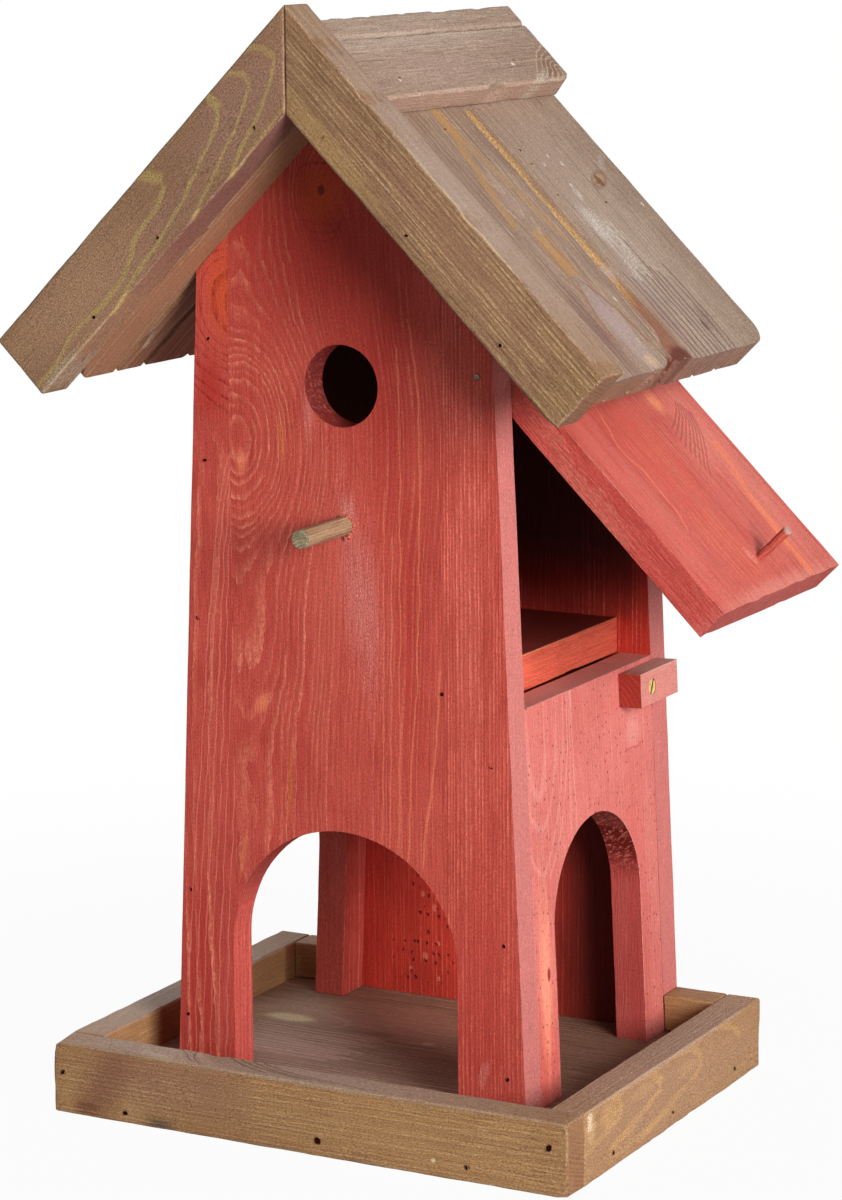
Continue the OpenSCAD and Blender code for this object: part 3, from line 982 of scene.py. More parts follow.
GRAINS["front_board_middle"] = Grain(
    FRONT, Z, X, pith=(-50, -3), ring=2.15, wobble=2.2, feather=0.4, seed=4.1,
    rises=((297, 42, 27), (214, 34, 6)), knots=((403.5, -8.5, 1.6, 9, 9),), lines=0.5,
    sawn=rgb(196, 90, 84), sawn_shade=0.7, width=0.2, streaks=0.6, grit=1.2, calm=(-24, 2, 0.12),
    even=0.55, knot_colour=rgb(96, 34, 24),
    marks=(
        # painted shade: these two dark marks darken the top of the gable under the roof
        Mark(380, -6, 44, 46, rgb(140, 28, 19), 0.75, 0.2, soft=1.0, over=True),
        Mark(330, 6, 30, 14, rgb(172, 48, 38), 0.5, 0.3, soft=1.0, over=True),
        Mark(402, -8.5, 12, 11, rgb(178, 68, 34), 0.8, 0.25, soft=0.6, over=True),
        Mark(287, -49, 5, 3.0, VEIN_ORANGE, 0.7, 0.5, soft=0.6),
        Mark(298, -29, 13, 1.6, ORANGE, 0.7, 0.5, -0.1, soft=0.6),
        Mark(183, -40, 5, 3.0, VEIN_ORANGE, 0.8, 0.5, 0.3, soft=0.6),
        Mark(150, -27, 22, 1.2, ORANGE, 0.75, 0.4, 0.06),
        Mark(114, -51, 12, 1.2, ORANGE, 0.7, 0.4, 0.2),
        Mark(320, 24, 60, 14, rgb(164, 40, 34), 0.6, 0.6, soft=0.7),
        Mark(210, 33, 70, 7, rgb(178, 52, 46), 0.55, 0.5, soft=0.6),
        Mark(240, -8, 70, 10, rgb(204, 96, 82), 0.4, 0.6, soft=0.8),
        Mark(232, 9, 38, 8, PALE_PINK, 0.4, 0.9, -0.12, soft=1.4, speckle=0.6),
        Mark(268, 3, 9, 4, PALE_PINK, 0.5, 0.8, soft=0.8, speckle=0.5),
        Mark(313, -16, 14, 3, PALE_PINK, 0.3, 0.8, soft=0.8),
    ),
    veins=(
        Vein([(118, 37), (150, 41), (176, 44), (205, 46)], 0.6, VEIN_ORANGE, 0.55),
        Vein([(120, 30.5), (160, 32), (200, 35), (245, 36), (300, 37), (330, 35),
              (352, 31)], 0.5, VEIN_ORANGE, 0.5),
        Vein([(120, 25.5), (200, 27), (300, 27.5), (340, 26)], 0.45, VEIN_ORANGE, 0.48),
        Vein([(118, 21), (180, 22.5), (260, 24)], 0.4, VEIN_ORANGE, 0.42),
        Vein([(118, 17.5), (190, 19), (280, 20)], 0.4, VEIN_ORANGE, 0.4),
        Vein([(116, 9), (124, 9.5), (128, 12)], 0.4, VEIN_ORANGE, 0.5),
        *(Vein([(-19 + 2 * k, 392 - 2 * k), (-9, 389 - 3.4 * k), (2 - k, 393 - 2 * k)],
               0.45, SCAR, 0.55 - 0.1 * k, steep=True) for k in range(4)),
        Vein([(-20, 409), (-9, 414.5), (1, 411)], 0.5, SCAR, 0.5, steep=True),
    ),
)

GRAINS["front_board_right"] = Grain(
    FRONT, Z, X, pith=(160, 60), ring=1.5, wobble=0.5, feather=0.12, seed=7.7, lines=0.34,
    width=0.22, streaks=0.65, grit=1.2, even=0.8,
    marks=(
        Mark(220, 60, 90, 9, rgb(204, 92, 80), 0.5, 0.6, soft=0.8),
        Mark(80, 66, 70, 15, rgb(182, 62, 54), 0.6, 0.5, soft=0.8, over=True),
        Mark(32, 66, 7, 2.4, PALE_PINK, 0.5, 0.9, 0.2, speckle=0.6),
    ),
)

GRAINS["back_board_left"] = Grain(
    BACK, Z, X, pith=(-140, 40), seed=11.0, ring=2.6, wobble=0.9, feather=0.2, pits=0.8,
    lines=0.55, even=0.4,
)

GRAINS["back_board_middle"] = Grain(
    BACK, Z, X, pith=(170, 30), seed=12.4, ring=2.4, wobble=1.0, feather=0.2, pits=0.6, lines=0.42,
    grit=0.9, even=0.4,
    marks=[
        Mark(x, y, size, size * 0.7, rgb(224, 118, 98), 0.8, 0.5)
        for x, y, size in ((34, -37, 2.0), (41, -30, 1.6), (58, -32, 2.2), (27, -45, 1.6),
                           (64, -38, 1.6), (24, -30, 1.4))
    ],
    pores=Pores(4.6, 0.95, rgb(134, 28, 22), 4.0, Mark(46, -38, 34, 17, DEEP_RED, 1.0, 0.3, 0.1)),
)

GRAINS["back_board_right"] = Grain(
    BACK, Z, X, pith=(210, 30), seed=13.9, ring=2.6, wobble=0.8, feather=0.2, pits=0.8, lines=0.55,
    even=0.4,
)

GRAINS["left_wall"] = Grain(
    Vector((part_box("left_wall")[0].x, 0, 0)), Z, Y, pith=(20, 12), seed=15.2,
    rises=((200, 130, 18),), lines=0.45, wobble=1.5, sawn=rgb(222, 104, 90), sawn_shade=0.6,
)

BLUSH, ROSE = rgb(244, 176, 166), rgb(206, 76, 66)
CATHEDRAL = (
    ([(-32, 149), (-28, 152), (-25, 162), (-23.5, 190)], 1.5),
    ([(-41, 190), (-40, 172), (-37, 156), (-32, 149)], 1.5),
    ([(-30, 134.5), (-25, 137), (-19, 147), (-14, 165), (-12, 190)], 1.1),
    ([(-41, 148), (-36, 138), (-30, 134.5)], 1.1),
    ([(-31, 114), (-26, 118), (-19, 128), (-13, 140), (-9, 155), (-5, 190)], 0.9),
    ([(-41, 126), (-37, 119), (-31, 114)], 0.9),
)

GRAINS["right_panel"] = Grain(
    Vector((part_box("right_panel")[1].x, 0, 0)), Z, Y, pith=(150, 20), ring=2.4, wobble=0.6,
    feather=0.2, seed=21.0, lines=0.3, streaks=0.75, width=0.2, pits=0.3, grit=0.9,
    sawn=rgb(164, 46, 42), sawn_shade=0.95, torn=rgb(232, 128, 108), even=0.4,
    pores=Pores(4.2, 0.46, rgb(164, 54, 48), 1.5),
    marks=(
        Mark(158, 63, 8, 8, rgb(232, 156, 148), 0.45, 0.2, soft=0.4),
        Mark(90, 20, 40, 20, rgb(206, 104, 96), 0.3, 0.7, soft=0.6),
        Mark(36, -34, 32, 12, ROSE, 0.7, 0.5, soft=1.0),
        Mark(42, 56, 44, 16, rgb(190, 78, 70), 0.85, 0.4, soft=1.0),
        Mark(96, 60, 40, 10, ROSE, 0.4, 0.5, soft=1.0),
        Mark(70, -32, 42, 6, rgb(250, 154, 124), 0.85, 0.5, soft=0.8),
        Mark(71, -29, 3.2, 1.8, rgb(150, 36, 32), 0.95, 0.4, over=True),
    ),
    veins=(
        *(Vein(points, width * 1.3, BLUSH, 0.2, steep=True) for points, width in CATHEDRAL),
        Vein([(128, -2.5), (150, -1), (190, 1)], 0.7, BLUSH, 0.25),
        Vein([(128, 4), (150, 3), (190, 2)], 0.6, BLUSH, 0.3),
        Vein([(112, -24), (125, -15), (140, -8), (165, -3), (190, -1)], 0.7, BLUSH, 0.25),
        Vein([(55, 152), (62, 150.5), (72, 153)], 0.5, rgb(190, 84, 78), 0.7, steep=True),
    ),
)

GRAINS["nest_floor"] = Grain(
    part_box("nest_floor")[0], Y, X, pith=(140, 40), ring=1.9, wobble=0.6, feather=0.1, seed=23.0,
    # painted shade: the nest floor's top is painted dark red
    lines=0.6, shade_colour=rgb(138, 50, 42),
)

GRAINS["bargeboard_right"] = Grain(
    PEAK, DOWN_RIGHT, UP_RIGHT, pith=(150, -60), ring=1.9, width=0.24, wobble=0.5, feather=0.2,
    seed=31.0, lines=0.36, streaks=0.9, grit=1.5, wear=0.5, relief=1.4, even=0.4,
    marks=(
        Mark(100, 3, 160, 4.0, rgb(170, 148, 134), 0.9, 0.12, over=True),
        Mark(50, -26, 40, 6, rgb(176, 140, 90), 0.5, 0.6, soft=0.8),
        Mark(120, -14, 70, 10, rgb(150, 108, 84), 0.5, 0.6, soft=0.8),
        Mark(196, -20, 14, 20, rgb(138, 104, 70), 0.6, 0.6),
    ),
)

GRAINS["bargeboard_left"] = Grain(
    PEAK, DOWN_LEFT, UP_LEFT, pith=(0, 160), ring=5.0, width=0.1, wobble=1.2, feather=0.7,
    seed=33.0, lines=0.12, streaks=0.3, grit=1.9, wear=0.35, relief=1.4, skin=3.0,
    marks=(
        Mark(60, -33, 120, 4, rgb(122, 78, 76), 0.75, 0.3),
        Mark(40, -14, 40, 14, rgb(150, 112, 98), 0.6, 0.7, soft=0.8),
        Mark(120, -22, 60, 7, rgb(146, 106, 92), 0.5, 0.7, soft=0.8),
        Mark(188, -30, 14, 3, rgb(160, 148, 130), 0.7, 0.9, speckle=0.5),
        Mark(160, -14, 50, 22, rgb(172, 134, 102), 0.7, 0.5, soft=1.0),
    ),
    veins=(
        Vein([(-12, 18), (-8, 19), (-4, 21), (0, 26)], 1.5, OLIVE, 0.5, steep=True),
        Vein([(18, -12), (25, -16), (33, -20), (45, -24), (56, -26.5), (68, -31)], 1.0,
             OLIVE, 0.6),
        Vein([(-13, 37), (-8, 34), (-4, 36), (0, 42)], 1.3, OLIVE, 0.5, steep=True),
        Vein([(37, -12), (50, -18), (70, -24), (95, -31)], 0.8, OLIVE, 0.6),
        Vein([(-8, 52), (-4, 51), (0, 52)], 2.2, OLIVE, 0.65, steep=True),
        Vein([(52, -8), (60, -12.5), (75, -17), (92, -22), (110, -25), (130, -28),
              (152, -31)], 0.95, OLIVE, 0.6),
        Vein([(-10, 93), (-6, 94.5), (0, 100)], 2.8, OLIVE, 0.6, steep=True),
        Vein([(93, -9), (102, -15), (118, -17), (128, -22), (145, -25), (172, -24),
              (182, -26), (202, -27)], 1.3, OLIVE, 0.6),
        Vein([(28, -29), (40, -29.5), (70, -31)], 0.8, OLIVE, 0.5),
    ),
)

GRAINS["plank_right_front"] = Grain(
    PEAK, DOWN_RIGHT, Y, under=UNDER_BROWN, below=-19.0, pith=(82, -25), ring=2.6, wobble=1.2,
    feather=0.4, seed=41.0, rises=((70, 70, 12),), lines=0.6, width=0.2, grit=1.5, wear=0.7,
    streaks=1.0, relief=1.7, even=0.55,
    marks=(
        Mark(56, 84.5, 16, 4.5, "flame", 0.9, 0.3, -0.04, soft=0.4),
        Mark(129, 82, 14, 5.6, "flame", 0.9, 0.2, soft=0.3),
        Mark(100, 83, 14, 6, rgb(166, 136, 122), 0.7, 0.5, soft=0.6),
        Mark(172, 83, 26, 10, rgb(170, 146, 140), 0.9, 0.4, 0.05, soft=0.5),
        Mark(170, 64, 30, 6, rgb(120, 84, 76), 0.7, 0.6, soft=0.5),
        Mark(172, 36, 26, 8, PURPLE, 0.4, 0.6, soft=0.5),
        Mark(120, 28, 100, 6, rgb(150, 122, 114), 0.6, 0.5, soft=0.5),
        Mark(195, 104, 4, 8, SCAR, 0.9, 0.4),
        Mark(158, 99, 1.6, 0.9, CHALK, 0.8, 0.4),
        # painted highlight: a whitish spot near the plank's lower end
        Mark(191, 85, 5, 5, rgb(206, 172, 140), 0.7, 0.6),
    ),
    veins=(
        Vein([(49, 86.5), (70, 88.5), (85, 92), (100, 97), (125, 101)], 2.4, "flame", 0.7),
        Vein([(49, 83), (62, 82.5), (75, 79), (90, 74.5), (105, 70), (116, 67.5)],
             3.2, "flame", 0.8),
        Vein([(118, 82), (130, 82), (143, 83)], 7.0, "flame", 0.7),
        Vein([(120, 86), (140, 87.5), (155, 91), (170, 95), (188, 99)], 1.1, UNDER_BROWN, 0.7),
        Vein([(122, 78), (145, 76.5), (160, 72.5), (178, 69)], 1.2, UNDER_BROWN, 0.7),
        Vein([(84, 84), (90, 88), (104, 90), (116, 88)], 0.6, UNDER_BROWN, 0.5),
        Vein([(84, 82), (90, 79), (104, 77), (116, 79)], 0.6, UNDER_BROWN, 0.5),
        Vein([(145, 82), (150, 87), (162, 92), (180, 97), (194, 100)], 0.6, rgb(112, 82, 68), 0.7),
        Vein([(146, 80), (154, 76), (168, 72), (182, 70)], 0.6, rgb(112, 82, 68), 0.5),
        *(Vein([(50, y), (120, y + 1), (196, y - 1)], 0.6, rgb(118, 88, 76), 0.5)
          for y in (61, 65, 103, 106)),
    ),
)

GRAINS["plank_right_back"] = Grain(
    PEAK, DOWN_RIGHT, Y, under=UNDER_BROWN, below=-19.0, pith=(320, -40), ring=2.3, wobble=0.6,
    feather=0.25, seed=43.0, knots=((98, 173, 2.4, 6, 8),), lines=0.55, width=0.24, grit=1.5,
    wear=0.7, streaks=1.0, relief=1.7, even=0.7, knot_colour=rgb(112, 74, 54),
    marks=(
        Mark(97.5, 173, 5.5, 8.5, rgb(122, 90, 70), 0.85, 0.2, -1.2, over=True),
        Mark(97.5, 173, 4.0, 6.5, rgb(176, 138, 108), 0.9, 0.2, -1.2, over=True),
        Mark(98.5, 171, 1.6, 3.4, rgb(128, 92, 68), 0.8, 0.3, -1.2, over=True),
        Mark(88, 189, 5, 4, CHALK, 0.3, 0.8, -1.2, soft=0.8),
        Mark(150, 150, 110, 40, rgb(186, 164, 148), 0.45, 0.3, soft=0.8),
        Mark(121, 137, 13, 11, CHALK, 0.7, 1.0, 0.2, speckle=0.5, soft=0.5),
        Mark(103, 144, 4, 4, CHALK, 0.6, 0.9, speckle=0.6),
        Mark(140, 140, 18, 9, CHALK, 0.35, 1.0, -0.3, speckle=0.8, soft=0.5),
        Mark(152, 130, 14, 6, CHALK, 0.3, 1.0, speckle=0.8, soft=0.5),
        *(Mark(x, y, 1.4, 1.1, rgb(226, 214, 202), 0.9, 0.4)
          for x, y in ((86, 153), (81, 146), (98, 144.5), (114, 193), (85, 137))),
        Mark(160, 128, 30, 5, rgb(150, 118, 112), 0.6, 0.7, soft=0.5),
        Mark(181, 155, 2.6, 2.0, rgb(58, 44, 40), 0.9, 0.5),
        Mark(178, 160, 8, 5, rgb(126, 98, 90), 0.7, 0.6, soft=0.5),
        Mark(60, 150, 50, 30, rgb(170, 140, 124), 0.4, 0.7, soft=0.5),
        Mark(176, 114, 24, 8.0, rgb(128, 74, 50), 0.85, 0.5, over=True, speckle=0.5, soft=0.4),
        Mark(144, 113.5, 5, 6, rgb(176, 148, 132), 0.8, 0.7, over=True),
        Mark(192, 115, 7, 7, SCAR, 0.95, 0.4, over=True),
    ),
    veins=(
        Vein([(50, 114), (120, 114), (164, 114)], 5.8, rgb(128, 94, 66), 0.7),
        Vein([(50, 114), (120, 113.6), (164, 114)], 3.6, rgb(206, 160, 98), 0.9, speckle=0.85),
        *(Vein([(146 + 3 * (k % 3), y), (172, y + 1.5), (197, y)], 0.8,
               rgb(104, 76, 68), 0.75)
          for k, y in enumerate((124, 128, 133, 137.5, 142, 146, 150, 154, 160, 164))),
        Vein([(130, 149), (150, 148.5), (175, 147), (196, 150)], 0.8, rgb(112, 88, 80), 0.6),
        *(Vein([(50, y), (90, y + 1), (140, y - 1)], 0.6, rgb(128, 98, 84), 0.5)
          for y in (122, 129, 163, 181)),
    ),
)


def underside_lines(first):
    """Dark grain lines under a plank of the left slope, from the first one's y."""
    return [
        Vein([(60, y), (140, y + (-1) ** k), (215, y)], 0.8 + 0.5 * (k % 3), rgb(82, 54, 44), 0.45)
        for k, y in enumerate(first + 5.2 * k for k in range(12))
    ]


GRAINS["plank_left_front"] = Grain(
    PEAK, DOWN_LEFT, Y, under=UNDER_BROWN, below=19.0, pith=(60, 30), ring=4.0, seed=45.0,
    rises=((110, 90, 24),), lines=0.8, wobble=2.0, streaks=1.0, grit=1.5, relief=1.6,
    veins=underside_lines(50),
)

GRAINS["plank_left_back"] = Grain(
    PEAK, DOWN_LEFT, Y, under=UNDER_BROWN, below=19.0, pith=(290, 30), ring=3.4, seed=47.0,
    knots=((70, 150, 3, 7, 8),), lines=0.8, wobble=1.4, streaks=1.0, grit=1.5, relief=1.6,
    knot_colour=rgb(110, 76, 56), veins=underside_lines(118),
)


def ridge_grain(down, pith, seed):
    """The grain of a ridge board, which runs from front to back."""
    return Grain(
        PEAK, Y, down, pith=pith, ring=2.0, wobble=1.2, feather=0.4, seed=seed, lines=0.3,
        width=0.2, grit=1.6, wear=0.6, streaks=0.6, relief=1.5, even=0.4,
        marks=(
            Mark(186, 42, 13, 9, rgb(122, 88, 70), 0.85, 0.5, -0.5, soft=0.4),
            Mark(100, 49.4, 130, 1.4, rgb(176, 140, 122), 0.8, 0.3),
            Mark(172, 47, 12, 2.5, rgb(188, 176, 160), 0.5, 0.9, -0.3, speckle=0.5),
            Mark(156, 38.5, 1.8, 1.0, rgb(232, 220, 204), 0.9, 0.3),
            Mark(50, 41, 1.2, 1.0, rgb(232, 220, 204), 0.9, 0.3),
            Mark(90, 38, 70, 12, rgb(172, 144, 130), 0.5, 0.6, soft=0.8),
            Mark(90, 14, 120, 12, rgb(190, 168, 152), 0.7, 0.6, soft=1.0),
        ),
        veins=[
            Vein([(165 + 5 * k, 49), (174 + 4 * k, 42 + k), (185 + 2 * k, 34 + 2 * k),
                  (198, 29 + 3.5 * k)], 0.6, rgb(200, 174, 144), 0.5)
            for k in range(6)
        ],
    )


# the battens' tops: grey as weathered wood, and painted lighter as light from above
RIM_TOP_GREY_AND_LIT = rgb(170, 146, 126)

GRAINS["rim_front"] = Grain(
    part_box("rim_front")[0], X, Z, pith=(150, -60), ring=1.8, width=0.22, wobble=0.8, feather=0.3,
    seed=61.0, lines=0.45, streaks=0.6, grit=1.8, blotches=0.4, wear=0.5, relief=1.5, even=0.4,
    marks=(
        *(Mark(x, y, 1.5, 1.2, rgb(44, 24, 14), 0.95, 0.3, over=True)
          for x, y in ((5.1, 18.6), (37, 4.7), (132.9, 7.1), (203.7, 6.5),
                       (241.6, 20.8))),
        Mark(60, 20, 50, 14, rgb(156, 112, 88), 0.7, 0.5, soft=0.8),
        Mark(27, 16, 15, 16, rgb(132, 86, 66), 0.75, 0.4, 1.0, soft=0.8),
        Mark(17, 4, 8, 4, rgb(112, 62, 48), 0.7, 0.5, soft=0.5),
        Mark(40, 6, 8, 5, rgb(176, 140, 96), 0.7, 0.4, soft=0.5),
        Mark(37, 5, 1.8, 1.4, rgb(110, 80, 60), 0.8, 0.4),
        Mark(54, 0, 9, 6, rgb(84, 70, 58), 0.85, 0.4, soft=0.3),
        Mark(6, 10, 5, 12, rgb(176, 138, 92), 0.5, 0.5, soft=0.8),
        Mark(120, 34.2, 170, 4.0, RIM_TOP_GREY_AND_LIT, 0.85, 0.2, over=True),
        Mark(188, 7, 1.3, 1.2, rgb(214, 192, 150), 0.9, 0.3, over=True),
        Mark(150, 14, 90, 12, rgb(168, 128, 86), 0.5, 0.6, soft=0.8),
    ),
    veins=(
        *(Vein([(x0, 16), (x1, 11), (x2, 6.5), (x3, 3)], 0.55,
               rgb(112, 84, 66), 0.75, top=True)
          for x0, x1, x2, x3 in ((92, 99, 112, 140), (86, 93, 105, 126),
                                 (80, 87, 96, 106), (97, 106, 124, 160),
                                 (64, 66, 69, 74), (56, 62, 66, 70))),
        Vein([(42, 7), (50, 4), (60, 1.5)], 2.4, rgb(186, 164, 136), 0.6, top=True),
        Vein([(66, 15), (72, 9), (80, 3)], 2.0, rgb(186, 164, 136), 0.5, top=True),
        *(Vein([(100, y), (160, y + 0.4), (248, y)], 0.4, rgb(196, 154, 96), 0.5)
          for y in (5, 9.5, 13, 17, 21.5, 25, 28)),
    ),
)

GRAINS["rim_left"] = Grain(
    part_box("rim_left")[0], Y, Z, pith=(130, 40), ring=2.6, wobble=1.0, seed=63.0, lines=0.4,
    grit=0.9, marks=(Mark(80, 34.2, 120, 4, RIM_TOP_GREY_AND_LIT, 0.85, 0.2, over=True),),
)

GRAINS["rim_right"] = Grain(
    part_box("rim_right")[0], Y, Z, pith=(22, 160), ring=2.4, wobble=1.2, feather=0.4, seed=65.0,
    lines=0.25, grit=1.6, wear=0.5, relief=1.4, streaks=0.4,
    marks=(
        Mark(90, 16, 110, 22, rgb(166, 128, 100), 0.8, 0.4, soft=0.6),
        # the right batten's top: weathered grey, and painted lighter as light from above
        Mark(80, 34.2, 130, 4, rgb(176, 144, 124), 0.9, 0.2, over=True),
        Mark(24, 24, 9, 6, rgb(194, 150, 100), 0.7, 0.4, soft=0.5),
        Mark(6, 24, 5, 8, rgb(200, 164, 118), 0.7, 0.6, soft=0.5),
        Mark(5, 27, 2.5, 4, rgb(230, 206, 176), 0.7, 0.7, speckle=0.4),
        Mark(60, 25, 14, 4, rgb(188, 148, 104), 0.5, 0.5, soft=0.5),
        Mark(104, 22, 12, 4, rgb(190, 148, 106), 0.5, 0.5, soft=0.5),
    ),
    veins=[
        Vein(points, width * 1.6, TAN, strength * 0.55, steep=steep)
        for points, width, strength, steep in (
            ([(19, 30), (23, 35), (28, 33), (32, 24)], 1.6, 0.7, True),
            ([(0, 13), (15, 17), (30, 19)], 1.2, 0.5, False),
            ([(18, 66), (23, 75), (27, 72), (31, 56)], 1.7, 0.75, True),
            ([(24, 8), (45, 13), (68, 18)], 1.5, 0.7, False),
            ([(14, 100), (18, 114), (22, 118), (26, 114), (31, 96)], 1.4, 0.7, True),
            ([(56, 6), (76, 9), (100, 14)], 1.3, 0.6, False),
            ([(20, 159), (24, 156), (28, 148), (32, 134)], 1.3, 0.6, True),
            ([(30, 4), (60, 7), (90, 9)], 1.0, 0.4, False),
        )
    ],
)

for node, seed in (("rim_back_left", 67.0), ("rim_back_right", 69.0)):
    GRAINS[node] = Grain(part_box(node)[0], X, Z, pith=(60, 40), seed=seed, lines=0.4, grit=0.9,
                         marks=(Mark(8, 33, 60, 3, RIM_TOP_GREY_AND_LIT, 0.8),))

GRAINS["tray_floor"] = Grain(
    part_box("tray_floor")[0], X, Y, pith=(300, -40), ring=2.6, wobble=1.4, feather=0.4, seed=71.0,
    lines=0.7, width=0.2, grit=1.1, even=0.3, streaks=0.9,
    marks=(
        # painted light: these two pale patches lighten the back of the floor where the walls shade it
        Mark(30, 126, 26, 24, rgb(204, 178, 148), 0.85, 0.4, soft=1.0),
        Mark(84, 126, 48, 24, rgb(206, 152, 130), 0.6, 0.4, soft=1.0),
        Mark(31, 109.5, 13.5, 6.0, rgb(238, 222, 180), 0.9, 0.2, over=True),
        Mark(107, 102, 3, 2.2, rgb(190, 176, 156), 0.8, 0.6, speckle=0.4),
        Mark(78, 118, 4, 3, rgb(176, 156, 132), 0.6, 0.7, speckle=0.4),
        Mark(74, 104, 14, 5, rgb(96, 66, 52), 0.5, 0.6, soft=0.6),
        Mark(110, 60, 60, 24, rgb(118, 84, 66), 0.5, 0.7, soft=0.6),
    ),
    veins=[
        Vein([(9, 118), (20, 122), (32, 123), (49, 119), (60, 113)], 1.8, rgb(204, 168, 150), 0.5),
        Vein([(104, 57), (112, 62)], 1.6, rgb(204, 168, 150), 0.4, steep=True),
        *(Vein([(20, 62 + 3.3 * k), (50, 61 + 3.3 * k), (78 + 5 * (k % 3), 60 + 3.3 * k)],
               1.1, rgb(188, 152, 138), 0.6) for k in range(12)),
        *(Vein([(176 + 3 * k, 98), (172 + 4 * k, 106), (180 + 4 * k, 116)][:2]
               + [(190 + 4 * k, 112 - k)], 0.5, rgb(84, 54, 42), 0.5)
          for k in range(4)),
    ],
)

GRAINS["hatch"] = Grain(
    PIVOT, HATCH_DOWN, Y, pith=(160, -8), ring=2.0, wobble=1.2, feather=0.4, seed=81.0, lines=0.5,
    width=0.22, streaks=1.0, grit=1.0, wear=0.7, relief=1.4, sawn_shade=0.45, even=0.5,
    sawn=rgb(172, 46, 46), torn=rgb(186, 66, 62),
    marks=(
        Mark(62, -8, 36, 18, rgb(208, 86, 66), 0.7, 0.6, soft=0.8),
        Mark(110, -12, 22, 14, rgb(206, 90, 72), 0.5, 0.7, soft=0.8),
        Mark(38, 26, 7, 6, rgb(236, 142, 100), 0.8, 0.4, soft=0.5),
        Mark(60, 34, 22, 15, rgb(222, 128, 112), 0.6, 0.6, -0.5, soft=0.6),
        Mark(112, 37, 28, 5, rgb(234, 124, 90), 0.55, 0.5, -0.06, soft=0.8),
        Mark(100, 20, 40, 8, rgb(214, 104, 96), 0.4, 0.6, soft=0.8),
        Mark(80, -48, 70, 12, rgb(212, 102, 94), 0.6, 0.6, soft=0.8),
        Mark(80, 46, 70, 14, rgb(222, 124, 110), 0.75, 0.4, soft=0.8),
        Mark(138, 0, 5, 64, rgb(222, 142, 130), 0.55, 0.5, soft=0.8),
        Mark(120, -4, 5, 3, rgb(226, 150, 138), 0.5, 0.9, speckle=0.6),
        Mark(96, 20, 30, 1.0, rgb(176, 60, 50), 0.5, 0.4, -0.06),
    ),
    veins=(
        *(Vein([(40 + 0.9 * k, 44 + 0.6 * k), (46 + 1.6 * k, 36 + 0.8 * k),
                (50 + 2.2 * k, 28 + 0.6 * k), (53 + 3.4 * k, 19)], 0.5,
               rgb(150, 54, 44), 0.6) for k in range(9)),
        Vein([(64, 48), (85, 42), (106, 36), (138, 34)], 2.8, rgb(236, 128, 88), 0.7),
        Vein([(30, -24), (45, -29), (55, -33), (70, -30), (85, -31), (100, -36)], 0.6,
             VEIN_ORANGE, 0.7),
        Vein([(34, -32), (60, -35), (90, -34)], 0.5, rgb(164, 50, 42), 0.6),
        *(Vein([(92, y), (108, y - 1.5), (128, y)], 0.45, VEIN_ORANGE, 0.45)
          for y in (-4, -8, -12, -16, -20, -24)),
    ),
)

GRAINS["turn_button"] = Grain(
    SCREW, Y, Z, pith=(-16, -14), ring=2.4, wobble=0.5, feather=0.2, seed=91.0, lines=0.7,
    wear=1.0, even=0.8, ends=0.75, end_line=rgb(226, 138, 104),
    marks=(
        Mark(14, 8.4, 30, 1.8, rgb(214, 170, 156), 0.85, 0.4),
        # painted shadow: the dark ring round the screw's recess
        Mark(0, 0, 4.3, 4.3, rgb(96, 26, 20), 0.85, 0.05, over=True),
    ),
)


# ---------------------------------------------------------------- pieces

WALLS = ("front_board_left", "front_board_middle", "front_board_right", "back_board_left",
         "back_board_middle", "back_board_right", "left_wall")


def in_arch(offset, height, reach):
    return abs(offset) < reach and height < ARCH_TOP


def sawn_walls(centre, normal):
    """The drilled entrance and the sawn arches, coarse where the saw tore the wood."""
    if abs(normal.z) > 0.9 and centre.z < FOOT_TOP:
        return 0.0
    if centre.y < WALL_Y + 0.016:
        if abs(normal.y) > 0.3:
            return 0.0
        if math.hypot(centre.x - BORE_X, centre.z - BORE_Z) < BORE_REACH:
            return 0.95 if normal.x > 0.0 else 0.7
        shade = 0.55 + 0.25 * rise(centre.z, 0.075, 0.03)
        return shade * in_arch(centre.x - FRONT_ARCH_X, centre.z, FRONT_ARCH_REACH)
    if abs(normal.x) > 0.3 or not in_arch(centre.y - SIDE_ARCH_Y, centre.z, SIDE_ARCH_REACH):
        return 0.0
    return 0.6 + 0.36 * rise(centre.z, 0.086, 0.022)


# painted light: faces turned to the key lamp on the right are painted paler, as its light and sheen
def lit_right_side(centre, normal):
    return normal.x > 0.7


